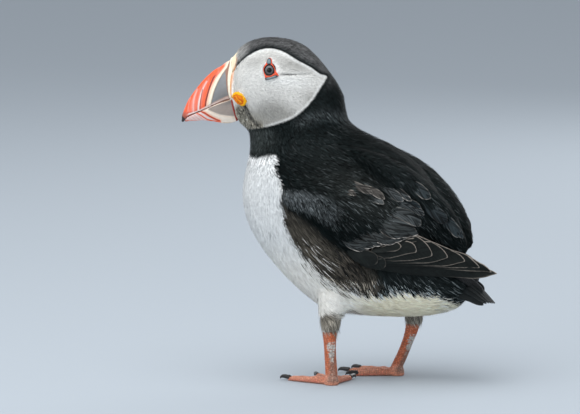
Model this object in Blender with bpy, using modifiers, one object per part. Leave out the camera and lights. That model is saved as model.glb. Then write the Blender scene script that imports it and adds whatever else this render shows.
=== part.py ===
"""An adult Atlantic puffin in breeding dress, standing on both feet, at life size.

Metres, +Z up. The bird faces -Y and its left side is +X, so the plane X = 0 halves its head and body.
The body is one loft through stations that run from the base of the bill to the under-tail feathers,
parted into head, neck and trunk. Wings, tail and legs are lofts of their own, fitted to the trunk with
Booleans, and every piece keeps a small gap to its neighbours.
"""

import math

import bmesh
import bpy
import numpy as np
from mathutils import Vector
from mathutils.bvhtree import BVHTree

MM = 0.001
GAP = 0.4 * MM  # left between pieces that meet
FAR_OUT = 90.0  # x of a point well to the left of the bird, in millimetres

# Driving sizes, in millimetres.
BODY_SIDES = 24  # points round a section of head, neck or trunk
HEAD_END, NECK_END = 5.45, 7.6  # where head and neck end, counted in stations
EYE = (-47.1, 189.0)  # y, z of the middle of each eye
EYE_RADIUS = 4.5
EYE_PROUD = 1.35  # how far the eyeball stands out of the face
RING_RADIUS, RING_WIRE = 3.75, 0.8  # the red rim round the eye
ROSETTE = (-65.0, 170.2)  # y, z of the fleshy fold at the gape
TOE_RADIUS = 2.5
TOE_ROOT = 1.2  # how far from the heel each toe starts
WEB_THICKNESS = 1.3
HEEL = ((-1.0, 3.4), (1.0, 4.4), (3.6, 4.3), (5.4, 3.6))  # z and radius of the heel pad

# Feather outline along the spine: (top y, top z), (bottom y, bottom z), half width of each section.
BODY_STATIONS = [
    ((-69.8, 195.4), (-68.3, 156.6), 9.6),  # base of the bill
    ((-63.6, 202.2), (-65.0, 153.0), 13.6),  # forehead
    ((-51.5, 206.2), (-61.4, 150.2), 17.4),  # crown
    ((-38.5, 206.2), (-60.4, 146.2), 19.9),  # cheek
    ((-25.5, 200.8), (-60.3, 142.4), 21.2),  # back of the crown
    ((-12.6, 186.6), (-60.6, 138.6), 22.4),  # nape
    ((-3.8, 172.5), (-61.2, 134.4), 24.4),  # hind neck
    ((-1.4, 157.6), (-62.4, 129.4), 28.0),  # foot of the neck
    ((9.5, 150.0), (-64.4, 121.0), 33.6),  # mantle
    ((27.0, 141.8), (-65.3, 110.6), 37.4),  # shoulders
    ((42.5, 130.0), (-63.0, 97.6), 39.2),  # breast
    ((53.0, 115.0), (-56.2, 83.6), 39.6),  # middle of the back
    ((60.0, 99.5), (-45.6, 69.6), 38.2),  # flank
    ((65.0, 86.0), (-32.0, 55.4), 35.2),  # lower back
    ((69.0, 75.5), (-14.0, 42.8), 31.0),  # rump
    ((71.5, 68.0), (12.0, 39.4), 26.0),  # behind the legs
    ((73.0, 62.6), (42.0, 39.4), 19.5),  # vent
    ((74.0, 59.2), (62.0, 42.9), 12.5),  # under-tail feathers
    ((74.5, 56.6), (69.0, 48.2), 6.5),  # their tip
]

# Upper bill: (culmen y, z), (cutting edge y, z), half width at the cutting edge, from base to hook.
UPPER_BILL = [
    ((-74.2, 192.0), (-73.2, 170.2), 8.2),
    ((-79.9, 188.2), (-77.6, 168.2), 7.3),
    ((-86.6, 182.5), (-83.0, 165.8), 6.1),
    ((-92.3, 175.9), (-88.4, 163.4), 4.9),
    ((-96.9, 168.3), (-93.6, 161.1), 3.6),
    ((-100.1, 160.6), (-98.2, 158.3), 2.3),
    ((-101.9, 155.6), (-101.0, 155.3), 0.8),
]
# Lower bill: (cutting edge y, z), (keel y, z), half width at the cutting edge.
LOWER_BILL = [
    ((-71.9, 169.6), (-69.5, 156.6), 7.6),
    ((-77.2, 167.2), (-73.4, 155.2), 6.9),
    ((-82.6, 164.8), (-78.6, 154.9), 5.8),
    ((-88.0, 162.5), (-84.8, 155.5), 4.6),
    ((-93.2, 160.2), (-91.4, 156.3), 3.2),
    ((-97.6, 157.9), (-97.0, 156.9), 1.4),
]
# Raised horn band between face and upper bill: (y, z) of its middle line, half depth, half width.
HORN_BAND = [
    ((-70.8, 194.0), 1.3, 2.2),
    ((-71.9, 188.0), 1.7, 6.0),
    ((-72.3, 181.0), 1.5, 8.3),
    ((-72.0, 174.0), 1.1, 9.3),
    ((-71.4, 170.2), 0.8, 9.2),
]

# Folded wing, left: top (y, z) and bottom (y, z) of each section, and its thickness in the middle.
WING_COVERTS = [
    ((-38.0, 117.5), (-38.2, 112.0), 0.4),
    ((-33.5, 121.0), (-34.5, 105.5), 1.6),
    ((-20.0, 125.0), (-21.5, 100.5), 3.0),
    ((-4.0, 127.0), (-8.0, 89.0), 4.2),
    ((14.0, 126.0), (7.0, 81.8), 4.8),
    ((30.0, 121.0), (24.0, 83.5), 4.4),
    ((41.0, 114.0), (37.0, 88.0), 3.0),
    ((48.0, 102.5), (46.0, 95.5), 0.6),
]
# Long quills that show below and behind the coverts, with the least x of their inner face.
PRIMARIES = [
    ((2.0, 87.0), (4.0, 75.5), 1.0, 0.0),
    ((16.0, 89.0), (14.0, 71.4), 2.0, 0.0),
    ((32.0, 92.0), (28.0, 68.8), 2.6, 0.0),
    ((44.5, 92.0), (42.0, 67.4), 2.8, 24.0),
    ((57.0, 84.8), (56.0, 66.4), 2.6, 21.5),
    ((70.0, 77.8), (70.0, 65.9), 2.2, 18.0),
    ((80.5, 73.0), (81.0, 66.2), 1.4, 14.0),
    ((90.0, 68.8), (90.4, 67.6), 0.4, 10.5),
]
WING_EDGE = 0.7  # thickness at a wing's edges
RIGHT_SLIP = (-7.0, -2.6)  # how much shorter and lower (y, z) the right quills lie at their tip
# Shoulder feathers and inner quills that lie along each side of the back: centre, radii across and up.
SHOULDER_PAD = [
    ((23.0, 3.0, 140.5), 7.0, 3.4),
    ((25.0, 17.0, 133.5), 12.5, 8.6),
    ((25.0, 33.0, 122.5), 14.6, 12.0),
    ((23.5, 47.0, 109.5), 13.6, 13.0),
    ((21.0, 58.5, 96.5), 11.2, 11.6),
    ((18.5, 66.6, 86.4), 7.6, 7.6),
    ((17.0, 71.2, 79.4), 3.0, 3.0),
]
# Tail with the feathers that cover its root: top (y, z), bottom (y, z), half width.
TAIL = [
    ((62.0, 73.0), (58.0, 52.0), 15.0),
    ((72.4, 65.2), (69.0, 48.6), 16.5),
    ((78.0, 59.4), (76.0, 46.9), 17.0),
    ((82.2, 53.6), (80.8, 46.0), 15.5),
    ((86.0, 49.2), (85.4, 45.4), 12.5),
    ((87.6, 46.9), (87.4, 45.7), 8.5),
]

# Each leg: thigh and shank centre lines, the heel, the middle toe's heading and the toes' sizes.
# Headings are degrees from straight ahead, towards the bird's right.
LEGS = {
    "left": {
        "thigh": [
            ((17.0, -7.0, 56.0), 11.5),
            ((20.0, -8.6, 44.0), 8.6),
            ((21.2, -9.4, 36.5), 6.4),
            ((21.6, -9.8, 32.4), 4.8),
        ],
        "shank": [(21.8, -9.6, 31.6), (22.6, -9.6, 26.0), (23.4, -9.0, 15.0), (24.0, -8.4, 5.8)],
        "heading": 68.0,
        "spread": {"outer": -38.0, "middle": 0.0, "inner": 43.0},
    },
    "right": {
        "thigh": [
            ((-17.0, 36.0, 56.0), 11.0),
            ((-19.0, 36.4, 44.0), 7.8),
            ((-19.6, 36.8, 37.0), 6.0),
            ((-19.8, 37.0, 32.8), 4.9),
        ],
        "shank": [(-20.0, 36.2, 32.0), (-20.6, 34.8, 26.0), (-21.4, 30.6, 15.0), (-22.0, 26.4, 5.8)],
        "heading": 15.0,
        "spread": {"outer": 23.0, "middle": 0.0, "inner": -28.0},
    },
}
TOE_LENGTHS = {"outer": 32.0, "middle": 32.0, "inner": 25.0}  # without the claws
CLAW_LENGTH = 6.2

COLOURS = {
    "black_feathers": ((0.012, 0.013, 0.015), 0.6),
    "face_feathers": ((0.62, 0.62, 0.6), 0.7),
    "trunk_feathers": ((0.02, 0.02, 0.022), 0.6),
    "bill_horn": ((0.78, 0.16, 0.07), 0.35),
    "cream_horn": ((0.85, 0.74, 0.5), 0.4),
    "gape_skin": ((0.85, 0.4, 0.03), 0.45),
    "eye": ((0.03, 0.03, 0.035), 0.08),
    "eye_rim": ((0.75, 0.09, 0.03), 0.5),
    "eye_plate": ((0.18, 0.24, 0.3), 0.5),
    "thigh_feathers": ((0.3, 0.28, 0.25), 0.8),
    "leg_skin": ((0.8, 0.2, 0.07), 0.45),
    "claw": ((0.02, 0.02, 0.02), 0.3),
}


def clear_scene():
    for obj in list(bpy.data.objects):
        bpy.data.objects.remove(obj)


def collection(name):
    made = bpy.data.collections.new(name)
    bpy.context.scene.collection.children.link(made)
    return made


def material(name):
    colour, roughness = COLOURS[name]
    made = bpy.data.materials.get(name) or bpy.data.materials.new(name)
    made.use_nodes = True
    made.diffuse_color = (*colour, 1.0)
    shader = made.node_tree.nodes["Principled BSDF"]
    shader.inputs["Base Color"].default_value = (*colour, 1.0)
    shader.inputs["Roughness"].default_value = roughness
    shader.inputs["Metallic"].default_value = 0.0
    return made


def mesh_object(name, points, faces, finish):
    """A new closed mesh from points in millimetres, with its faces turned outwards."""
    mesh = bpy.data.meshes.new(name)
    mesh.from_pydata([Vector(p) * MM for p in points], [], faces)
    made = bmesh.new()
    made.from_mesh(mesh)
    bmesh.ops.recalc_face_normals(made, faces=made.faces)
    made.to_mesh(mesh)
    made.free()
    mesh.shade_smooth()
    mesh.materials.append(material(finish))
    obj = bpy.data.objects.new(name, mesh)
    PUFFIN.objects.link(obj)
    return obj


def loft(name, rings, finish):
    """A closed solid through rings of equal length, in order, with a flat face on each end."""
    sides = len(rings[0])
    points = [p for ring in rings for p in ring]
    faces = [list(range(sides)), list(range(len(points) - sides, len(points)))]
    for i in range(len(rings) - 1):
        for j in range(sides):
            k = (j + 1) % sides
            a, b = i * sides, (i + 1) * sides
            faces.append([a + j, a + k, b + k, b + j])
    return mesh_object(name, points, faces, finish)


def along(stations, t):
    """The row of numbers at t on a smooth curve through the stations, t counted in stations."""
    rows = np.array([flat(s) for s in stations], float)
    i = min(int(t), len(rows) - 2)
    u = t - i
    before, after = rows[max(i - 1, 0)], rows[min(i + 2, len(rows) - 1)]
    a, b = rows[i], rows[i + 1]
    slope_a, slope_b = (b - before) / 2, (after - a) / 2
    return (
        (2 * u**3 - 3 * u**2 + 1) * a
        + (u**3 - 2 * u**2 + u) * slope_a
        + (3 * u**2 - 2 * u**3) * b
        + (u**3 - u**2) * slope_b
    )


def flat(value):
    """The numbers of a nested tuple in one list."""
    if isinstance(value, (int, float)):
        return [value]
    return [x for part in value for x in flat(part)]


def spaced(first, last, count):
    return [first + (last - first) * i / (count - 1) for i in range(count)]


def replace_mesh(obj):
    """Applies the object's modifiers."""
    graph = bpy.context.evaluated_depsgraph_get()
    obj.data = bpy.data.meshes.new_from_object(obj.evaluated_get(graph))
    obj.modifiers.clear()


def boolean(obj, other, operation):
    step = obj.modifiers.new(operation.lower(), "BOOLEAN")
    step.operation = operation
    step.object = other
    step.solver = "EXACT"
    replace_mesh(obj)


def swollen(obj, by=GAP):
    """A helper copy of the object that is larger by this much all round."""
    helper = bpy.data.objects.new(obj.name + "_clearance", obj.data.copy())
    HELPERS.objects.link(helper)
    helper.hide_render = True
    helper.display_type = "WIRE"
    normals = [v.normal.copy() for v in helper.data.vertices]
    for vertex, normal in zip(helper.data.vertices, normals):
        vertex.co += normal * by
    return helper


def cut(obj, *others):
    """Takes the room of each other object, and a gap round it, out of this one."""
    for other in others:
        helper = swollen(other)
        boolean(obj, helper, "DIFFERENCE")
        bpy.data.objects.remove(helper)
    drop_loose_bits(obj)


def drop_loose_bits(obj):
    """Keeps the largest of the bodies that a cut has left."""
    work = bmesh.new()
    work.from_mesh(obj.data)
    bmesh.ops.remove_doubles(work, verts=work.verts, dist=0.002 * MM)
    left = set(work.verts)
    bodies = []
    while left:
        todo = [left.pop()]
        body = set(todo)
        while todo:
            for edge in todo.pop().link_edges:
                for vertex in edge.verts:
                    if vertex in left:
                        left.remove(vertex)
                        body.add(vertex)
                        todo.append(vertex)
        bodies.append(body)
    largest = max(bodies, key=len)
    bmesh.ops.delete(work, geom=[v for b in bodies if b is not largest for v in b], context="VERTS")
    work.to_mesh(obj.data)
    work.free()


def mirrored(obj, name):
    """The same piece on the bird's right."""
    copy = bpy.data.objects.new(name, obj.data.copy())
    for vertex in copy.data.vertices:
        vertex.co.x = -vertex.co.x
    copy.data.flip_normals()
    PUFFIN.objects.link(copy)
    return copy


def body_ring(t):
    """One section of head, neck or trunk: an ellipse between its top and bottom points."""
    top_y, top_z, low_y, low_z, half_width = along(BODY_STATIONS, t)
    middle = np.array([0.0, (top_y + low_y) / 2, (top_z + low_z) / 2])
    up = np.array([0.0, (top_y - low_y) / 2, (top_z - low_z) / 2])
    across = np.array([half_width, 0.0, 0.0])
    angles = [2 * math.pi * i / BODY_SIDES for i in range(BODY_SIDES)]
    return [middle + up * math.cos(a) + across * math.sin(a) for a in angles]


def moved_along(ring, distance):
    """The ring shifted square to its own plane, towards the tail for a positive distance."""
    up = ring[0] - ring[len(ring) // 2]
    backwards = np.cross(up, [1.0, 0.0, 0.0])
    backwards = backwards / np.linalg.norm(backwards)
    return [p + backwards * distance for p in ring]


def body_length(name, first, last, count, finish):
    """Part of the body loft, its cut ends drawn back by half a gap."""
    rings = [body_ring(t) for t in spaced(first, last, count)]
    if first > 0:
        rings[0] = moved_along(rings[0], GAP / MM / 2)
    if last < len(BODY_STATIONS) - 1:
        rings[-1] = moved_along(rings[-1], -GAP / MM / 2)
    return loft(name, rings, finish)


def make_body():
    last = len(BODY_STATIONS) - 1
    head = body_length("head", 0, HEAD_END, 12, "face_feathers")
    neck = body_length("neck", HEAD_END, NECK_END, 5, "black_feathers")
    trunk = body_length("trunk", NECK_END, last, 18, "trunk_feathers")
    return head, neck, trunk


def bill_ring(station, keel_width, corners):
    """A bill section: a narrow keel or ridge widening in a curve to the flat cutting edge."""
    ridge_y, ridge_z, edge_y, edge_z, half_width = station
    steps = [i / corners for i in range(corners + 1)]
    side = []
    for s in steps:
        width = half_width * (keel_width + (1 - keel_width) * math.sin(s**0.85 * math.pi / 2))
        side.append((width, ridge_y + (edge_y - ridge_y) * s, ridge_z + (edge_z - ridge_z) * s))
    other = [(-x, y, z) for x, y, z in reversed(side)]
    return side + other


def make_bill():
    upper_rings = [bill_ring(along(UPPER_BILL, t), 0.2, 6) for t in spaced(0, 6, 13)]
    upper = loft("bill_upper", upper_rings, "bill_horn")
    keel_first = [(keel, edge, half_width) for edge, keel, half_width in LOWER_BILL]
    lower_rings = [bill_ring(along(keel_first, t), 0.3, 5) for t in spaced(0, 5, 9)]
    lower = loft("bill_lower", lower_rings, "bill_horn")
    return upper, lower


def make_horn_band(head, upper, lower):
    """The cream band that borders the feathers, as a strap over the root of the upper bill."""
    rings = []
    for t in spaced(0, len(HORN_BAND) - 1, 13):
        y, z, depth, half_width = along(HORN_BAND, t)
        rings.append(
            [(half_width, y - depth, z), (half_width, y + depth, z),
             (-half_width, y + depth, z), (-half_width, y - depth, z)]
        )
    band = loft("bill_base_band", rings, "cream_horn")
    rounding = band.modifiers.new("rounding", "BEVEL")
    rounding.width = 0.6 * MM
    rounding.segments = 1
    replace_mesh(band)
    cut(band, head, upper, lower)
    return band


def face_point(head, y, z):
    """Where a line from the bird's left meets the head at this y and z, and the way the face looks there."""
    tree = BVHTree.FromObject(head, bpy.context.evaluated_depsgraph_get())
    spot, normal, _, _ = tree.ray_cast(Vector((FAR_OUT, y, z)) * MM, Vector((-1, 0, 0)))
    return spot / MM, normal


def tangents(normal):
    """The directions backwards and upwards along the face."""
    back = Vector((0, 1, 0))
    back = (back - normal * back.dot(normal)).normalized()
    up = normal.cross(back)
    return back, up if up.z > 0 else -up


def make_eye(head):
    spot, normal = face_point(head, *EYE)
    centre = spot - normal * (EYE_RADIUS - EYE_PROUD)
    bpy.ops.mesh.primitive_uv_sphere_add(segments=16, ring_count=10, radius=EYE_RADIUS * MM,
                                         location=centre * MM)
    eye = adopt("eye_left", "eye")
    bpy.ops.mesh.primitive_torus_add(major_radius=RING_RADIUS * MM, minor_radius=RING_WIRE * MM,
                                     major_segments=18, minor_segments=6, location=spot * MM,
                                     rotation=normal.to_track_quat("Z", "Y").to_euler())
    rim = adopt("eye_rim_left", "eye_rim")
    return eye, rim, spot, normal


def adopt(name, finish):
    """Takes the primitive just added: applies its place, names it and gives it a material."""
    obj = bpy.context.object
    obj.data.transform(obj.matrix_world)
    obj.matrix_world.identity()
    obj.name = obj.data.name = name
    obj.data.shade_smooth()
    obj.data.materials.append(material(finish))
    for holder in list(obj.users_collection):
        holder.objects.unlink(obj)
    PUFFIN.objects.link(obj)
    return obj


def horn_plate(name, outline, spot, normal, proud):
    """A flat horn plate on the face. The outline is (backwards, upwards) from the eye's middle."""
    back, up = tangents(normal)
    rings = []
    for depth, inset in ((-3.0, 1.0), (proud * 0.6, 1.0), (proud, 0.72)):
        middle = np.mean(outline, axis=0)
        ring = [middle + (np.array(p) - middle) * inset for p in outline]
        rings.append([spot + back * p[0] + up * p[1] + normal * depth for p in ring])
    return loft(name, rings, "eye_plate")


def make_eye_plates(spot, normal):
    """The blue-grey horn above and below each eye that breeding birds have."""
    above = [(-1.9, 3.2), (-1.5, 4.9), (-0.7, 6.6), (0.4, 6.7), (1.0, 4.9), (1.4, 3.2)]
    below = [(-3.1, -6.3), (-3.0, -4.4), (0.0, -4.4), (3.4, -3.6), (6.4, -3.3), (5.6, -4.8), (1.6, -6.1)]
    upper = horn_plate("eye_plate_upper_left", above, spot, normal, 0.9)
    lower = horn_plate("eye_plate_lower_left", below, spot, normal, 0.8)
    return upper, lower


def make_rosette(head):
    """The bare fold of skin at the corner of the mouth."""
    spot, _ = face_point(head, *ROSETTE)
    bpy.ops.mesh.primitive_uv_sphere_add(segments=14, ring_count=8, radius=1.0 * MM, location=spot * MM,
                                         scale=(3.0, 5.6, 3.9), rotation=(math.radians(-32), 0, 0))
    return adopt("gape_rosette_left", "gape_skin")


def make_face(head, upper, lower, band):
    eye, rim, spot, normal = make_eye(head)
    plates = make_eye_plates(spot, normal)
    rosette = make_rosette(head)
    cut(rosette, upper, lower, band, head)
    left_pieces = [eye, rim, *plates, rosette]
    cut(rim, eye, head)
    for plate in plates:
        cut(plate, rim, eye, head)
    right_eye = mirrored(eye, "eye_right")
    cut(head, eye, right_eye)
    for piece in left_pieces[1:]:
        mirrored(piece, piece.name.replace("left", "right"))


def lying_on(trunk, corners, least_x=None):
    """How far out the trunk reaches at each y, z, or the least x where that is further out."""
    tree = BVHTree.FromObject(trunk, bpy.context.evaluated_depsgraph_get())
    reach = []
    for y, z in corners:
        spot = tree.ray_cast(Vector((FAR_OUT, y, z)) * MM, Vector((-1, 0, 0)))[0]
        hit = spot.x / MM if spot else 0.0
        reach.append(hit if least_x is None else max(hit, least_x))
    return reach


def wing_ring(trunk, station, corners):
    """A wing section: its outer arc from top to bottom, then the inner face that lies along the trunk."""
    top_y, top_z, low_y, low_z, thick, *least_x = station
    shares = [i / corners for i in range(corners + 1)]
    line = [(top_y + (low_y - top_y) * s, top_z + (low_z - top_z) * s) for s in shares]
    reach = lying_on(trunk, line, *least_x)
    outer, inner = [], []
    for s, (y, z), x in zip(shares, line, reach):
        x += 2 * GAP / MM
        inner.append((x, y, z))
        outer.append((x + WING_EDGE + thick * math.sin(math.pi * s) ** 0.7, y, z))
    return outer + inner[::-1]


def pad_ring(station, sides):
    """A section of a soft pad: an ellipse square to the line of the back."""
    x, y, z, across, up = station
    angles = [2 * math.pi * i / sides for i in range(sides)]
    tilt = Vector((0.35, 0.62, 0.7)).normalized()
    return [Vector((x + across * math.cos(a), y, z)) + tilt * (up * math.sin(a)) for a in angles]


def slipped(stations, by):
    """The quill stations with their far end drawn in by this (y, z)."""
    made = []
    for i, (top, low, thick, least_x) in enumerate(stations):
        share = (i / (len(stations) - 1)) ** 1.5
        move = [share * by[0], share * by[1]]
        made.append(([a + b for a, b in zip(top, move)], [a + b for a, b in zip(low, move)], thick, least_x))
    return made


def make_quills(name, stations, trunk, coverts):
    rings = [wing_ring(trunk, along(stations, t), 5) for t in spaced(0, 7, 15)]
    quills = loft(name, rings, "black_feathers")
    cut(quills, coverts)
    return quills


def make_wings(trunk, neck):
    rings = [wing_ring(trunk, along(WING_COVERTS, t), 7) for t in spaced(0, 7, 15)]
    coverts = loft("wing_left", rings, "black_feathers")
    quills = make_quills("primaries_left", PRIMARIES, trunk, coverts)
    right_quills = make_quills("primaries_left_short", slipped(PRIMARIES, RIGHT_SLIP), trunk, coverts)
    mirrored(right_quills, "primaries_right")
    bpy.data.objects.remove(right_quills)
    pad = loft("scapulars_left", [pad_ring(along(SHOULDER_PAD, t), 12) for t in spaced(0, 6, 11)],
               "black_feathers")
    cut(pad, trunk, neck, coverts, quills)
    mirrored(coverts, "wing_right")
    mirrored(pad, "scapulars_right")


def make_tail(trunk):
    """A short fan with rounded sides that droop a little."""
    rings = []
    for t in spaced(0, len(TAIL) - 1, 9):
        top_y, top_z, low_y, low_z, half_width = along(TAIL, t)
        angles = [2 * math.pi * i / 16 for i in range(16)]
        middle_y, middle_z = (top_y + low_y) / 2, (top_z + low_z) / 2
        rings.append(
            [(half_width * math.sin(a),
              middle_y + (top_y - low_y) / 2 * math.cos(a),
              middle_z + (top_z - low_z) / 2 * math.cos(a) - 0.14 * half_width * math.sin(a) ** 2)
             for a in angles]
        )
    tail = loft("tail", rings, "black_feathers")
    cut(tail, trunk)
    return tail


def round_ring(centre, radius, sides, flatten=1.0, axis=(0, 0, 1)):
    """A ring square to the axis, flattened along the first of its two directions."""
    axis = Vector(axis).normalized()
    first = axis.cross(Vector((0, 0, 1)) if abs(axis.z) < 0.9 else Vector((0, 1, 0))).normalized()
    second = axis.cross(first)
    angles = [2 * math.pi * (i + 0.5) / sides for i in range(sides)]
    return [
        Vector(centre) + first * (radius * flatten * math.cos(a)) + second * (radius * math.sin(a))
        for a in angles
    ]


def make_thigh(side, leg, trunk):
    rings = []
    for t in spaced(0, len(leg["thigh"]) - 1, 7):
        x, y, z, radius = along(leg["thigh"], t)
        rings.append(round_ring((x, y, z), radius, 12))
    thigh = loft(f"thigh_{side}", rings, "thigh_feathers")
    cut(thigh, trunk)
    return thigh


def make_shank(side, leg):
    """The bare shank, thickest at the ankle joint and pinched in the middle."""
    radii = [(0.0, 4.3), (0.12, 4.1), (0.35, 3.5), (0.65, 3.4), (0.9, 3.7), (1.0, 3.8)]
    line = leg["shank"]
    rings = []
    for t in spaced(0, len(line) - 1, 8):
        share = t / (len(line) - 1)
        radius = float(np.interp(share, *zip(*radii)))
        rings.append(round_ring(along(line, t), radius, 10, flatten=0.82))
    return loft(f"shank_{side}", rings, "leg_skin")


def heading_vector(degrees):
    """Level direction, from straight ahead (-Y) round towards the bird's right (-X)."""
    return Vector((-math.sin(math.radians(degrees)), -math.cos(math.radians(degrees)), 0))


def toe_directions(leg):
    return {toe: heading_vector(leg["heading"] + turn) for toe, turn in leg["spread"].items()}


def make_toe(name, start, way, length):
    """A toe of tapering bones, with its joints as slight swellings and its sole on the floor."""
    rings = []
    for s in spaced(0, 1, 10):
        swelling = 0.32 * math.cos(s * 3 * 2 * math.pi) * (1 - s)
        radius = TOE_RADIUS * (1.08 - 0.42 * s) + swelling
        if s == 1:
            radius *= 0.62
        centre = start + way * (length * s) + Vector((0, 0, radius * 0.8))
        rings.append(round_ring(centre, radius, 8, axis=way))
    return loft(name, rings, "leg_skin")


def make_web(name, heel, tips):
    """The skin between the toes, its free edges curving in a little between the tips."""
    outer, middle, inner = tips
    edge = []
    for a, b in ((outer, middle), (middle, inner)):
        for s in spaced(0, 1, 6)[:-1]:
            pull = 0.2 * math.sin(math.pi * s)
            edge.append((a + (b - a) * s) * (1 - pull) + heel * pull)
    edge += [inner, heel]
    outline = [Vector((p.x, p.y, 0)) for p in edge]
    rings = [[p + Vector((0, 0, h)) for p in outline] for h in (0.5, 0.5 + WEB_THICKNESS)]
    return loft(name, rings, "leg_skin")


def make_foot(side, leg, shank):
    heel = Vector((*leg["shank"][-1][:2], 0))
    ways = toe_directions(leg)
    foot = loft(
        f"foot_{side}",
        [round_ring(heel + Vector((0, 0, z)), radius, 12) for z, radius in HEEL],
        "leg_skin",
    )
    tips = [heel + ways[toe] * (TOE_LENGTHS[toe] * 0.94) for toe in ("outer", "middle", "inner")]
    pieces = []
    for toe, way in ways.items():
        root = heel + way * TOE_ROOT
        pieces.append(make_toe(f"{toe}_{side}", root, way, TOE_LENGTHS[toe] - TOE_ROOT))
    for piece in [*pieces, make_web(f"web_{side}", heel, tips)]:
        boolean(foot, piece, "UNION")
        bpy.data.objects.remove(piece)
    bpy.ops.mesh.primitive_cube_add(size=160 * MM, location=(heel.x * MM, heel.y * MM, -80 * MM))
    floor = bpy.context.object
    boolean(foot, floor, "DIFFERENCE")
    bpy.data.objects.remove(floor)
    cut(foot, shank)
    for toe, way in ways.items():
        make_claw(f"claw_{toe}_{side}", heel + way * (TOE_LENGTHS[toe] + 0.4), way)
    return foot


def make_claw(name, start, way):
    """A short curved claw that arches down to the floor."""
    rings = []
    for s in spaced(0, 1, 5):
        rise = 1.9 + 0.9 * math.sin(math.pi * s * 0.8) - 1.9 * s**2
        radius = 1.25 * (1 - s) ** 0.7 + 0.22
        forward = CLAW_LENGTH * math.sin(s * math.pi / 2)
        rings.append(round_ring(start + way * forward + Vector((0, 0, rise)), radius, 6, axis=way))
    return loft(name, rings, "claw")


def stand_over_origin():
    """Puts the middle of the whole bird's box over the origin, with its soles on Z = 0."""
    corners = [o.matrix_world @ v.co for o in PUFFIN.objects for v in o.data.vertices]
    lowest = min(p.z for p in corners)
    middle_y = (min(p.y for p in corners) + max(p.y for p in corners)) / 2
    for obj in PUFFIN.objects:
        obj.location = (0, -middle_y, -lowest)


clear_scene()
PUFFIN = collection("atlantic_puffin")
HELPERS = collection("helpers")

head, neck, trunk = make_body()
upper, lower = make_bill()
band = make_horn_band(head, upper, lower)
make_face(head, upper, lower, band)
make_wings(trunk, neck)
make_tail(trunk)
for side, leg in LEGS.items():
    shank = make_shank(side, leg)
    thigh = make_thigh(side, leg, trunk)
    cut(thigh, shank)
    make_foot(side, leg, shank)
stand_over_origin()
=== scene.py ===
import math

import bmesh
import bpy
import numpy as np
from mathutils import Matrix, Vector, kdtree
from mathutils.bvhtree import BVHTree


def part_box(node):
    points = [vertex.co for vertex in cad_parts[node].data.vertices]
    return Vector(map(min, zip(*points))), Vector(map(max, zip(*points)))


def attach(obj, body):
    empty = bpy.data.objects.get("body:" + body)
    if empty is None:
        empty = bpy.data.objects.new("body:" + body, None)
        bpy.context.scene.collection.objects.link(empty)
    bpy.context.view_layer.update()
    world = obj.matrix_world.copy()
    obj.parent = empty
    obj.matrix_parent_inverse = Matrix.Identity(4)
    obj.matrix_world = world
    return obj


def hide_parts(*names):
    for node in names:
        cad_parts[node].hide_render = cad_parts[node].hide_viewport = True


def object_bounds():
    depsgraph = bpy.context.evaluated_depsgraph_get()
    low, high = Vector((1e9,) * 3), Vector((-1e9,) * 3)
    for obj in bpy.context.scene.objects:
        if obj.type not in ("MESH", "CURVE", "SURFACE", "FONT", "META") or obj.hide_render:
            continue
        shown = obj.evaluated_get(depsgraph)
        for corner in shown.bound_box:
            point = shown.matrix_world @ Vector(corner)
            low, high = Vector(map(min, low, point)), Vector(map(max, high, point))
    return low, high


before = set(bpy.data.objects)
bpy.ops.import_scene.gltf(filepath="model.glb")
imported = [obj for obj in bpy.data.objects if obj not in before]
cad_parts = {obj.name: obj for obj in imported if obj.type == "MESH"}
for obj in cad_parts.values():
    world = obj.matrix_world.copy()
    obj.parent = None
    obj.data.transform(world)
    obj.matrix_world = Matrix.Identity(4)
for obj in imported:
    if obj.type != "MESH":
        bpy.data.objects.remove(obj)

CAD_BOX = [list(corner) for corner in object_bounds()]
MM = 0.001


# ----------------------------------------------------------------
# Floor, light and camera. The bird stands on a plain pale floor under a broad overhead light, as on
# an overcast day, and is seen from a little behind its left side through a long lens.

FLOOR_COLOUR = (0.42, 0.465, 0.51)
FLOOR_SIZE = 14.0
SURROUNDINGS_COLOUR = (0.545, 0.57, 0.60, 1.0)
SURROUNDINGS_STRENGTH = 1.1
VIEW_AZIMUTH, VIEW_ELEVATION = math.radians(97), math.radians(6)
VIEW_DISTANCE = 3.0
VIEW_BACK, VIEW_UP = 0.0655, 0.1043  # the camera's aim, behind the bill's tip and above the floor
FIELD_WIDTH = 0.3494  # how much of the bird's own plane fits across the view
SENSOR_WIDTH = 36.0


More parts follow.
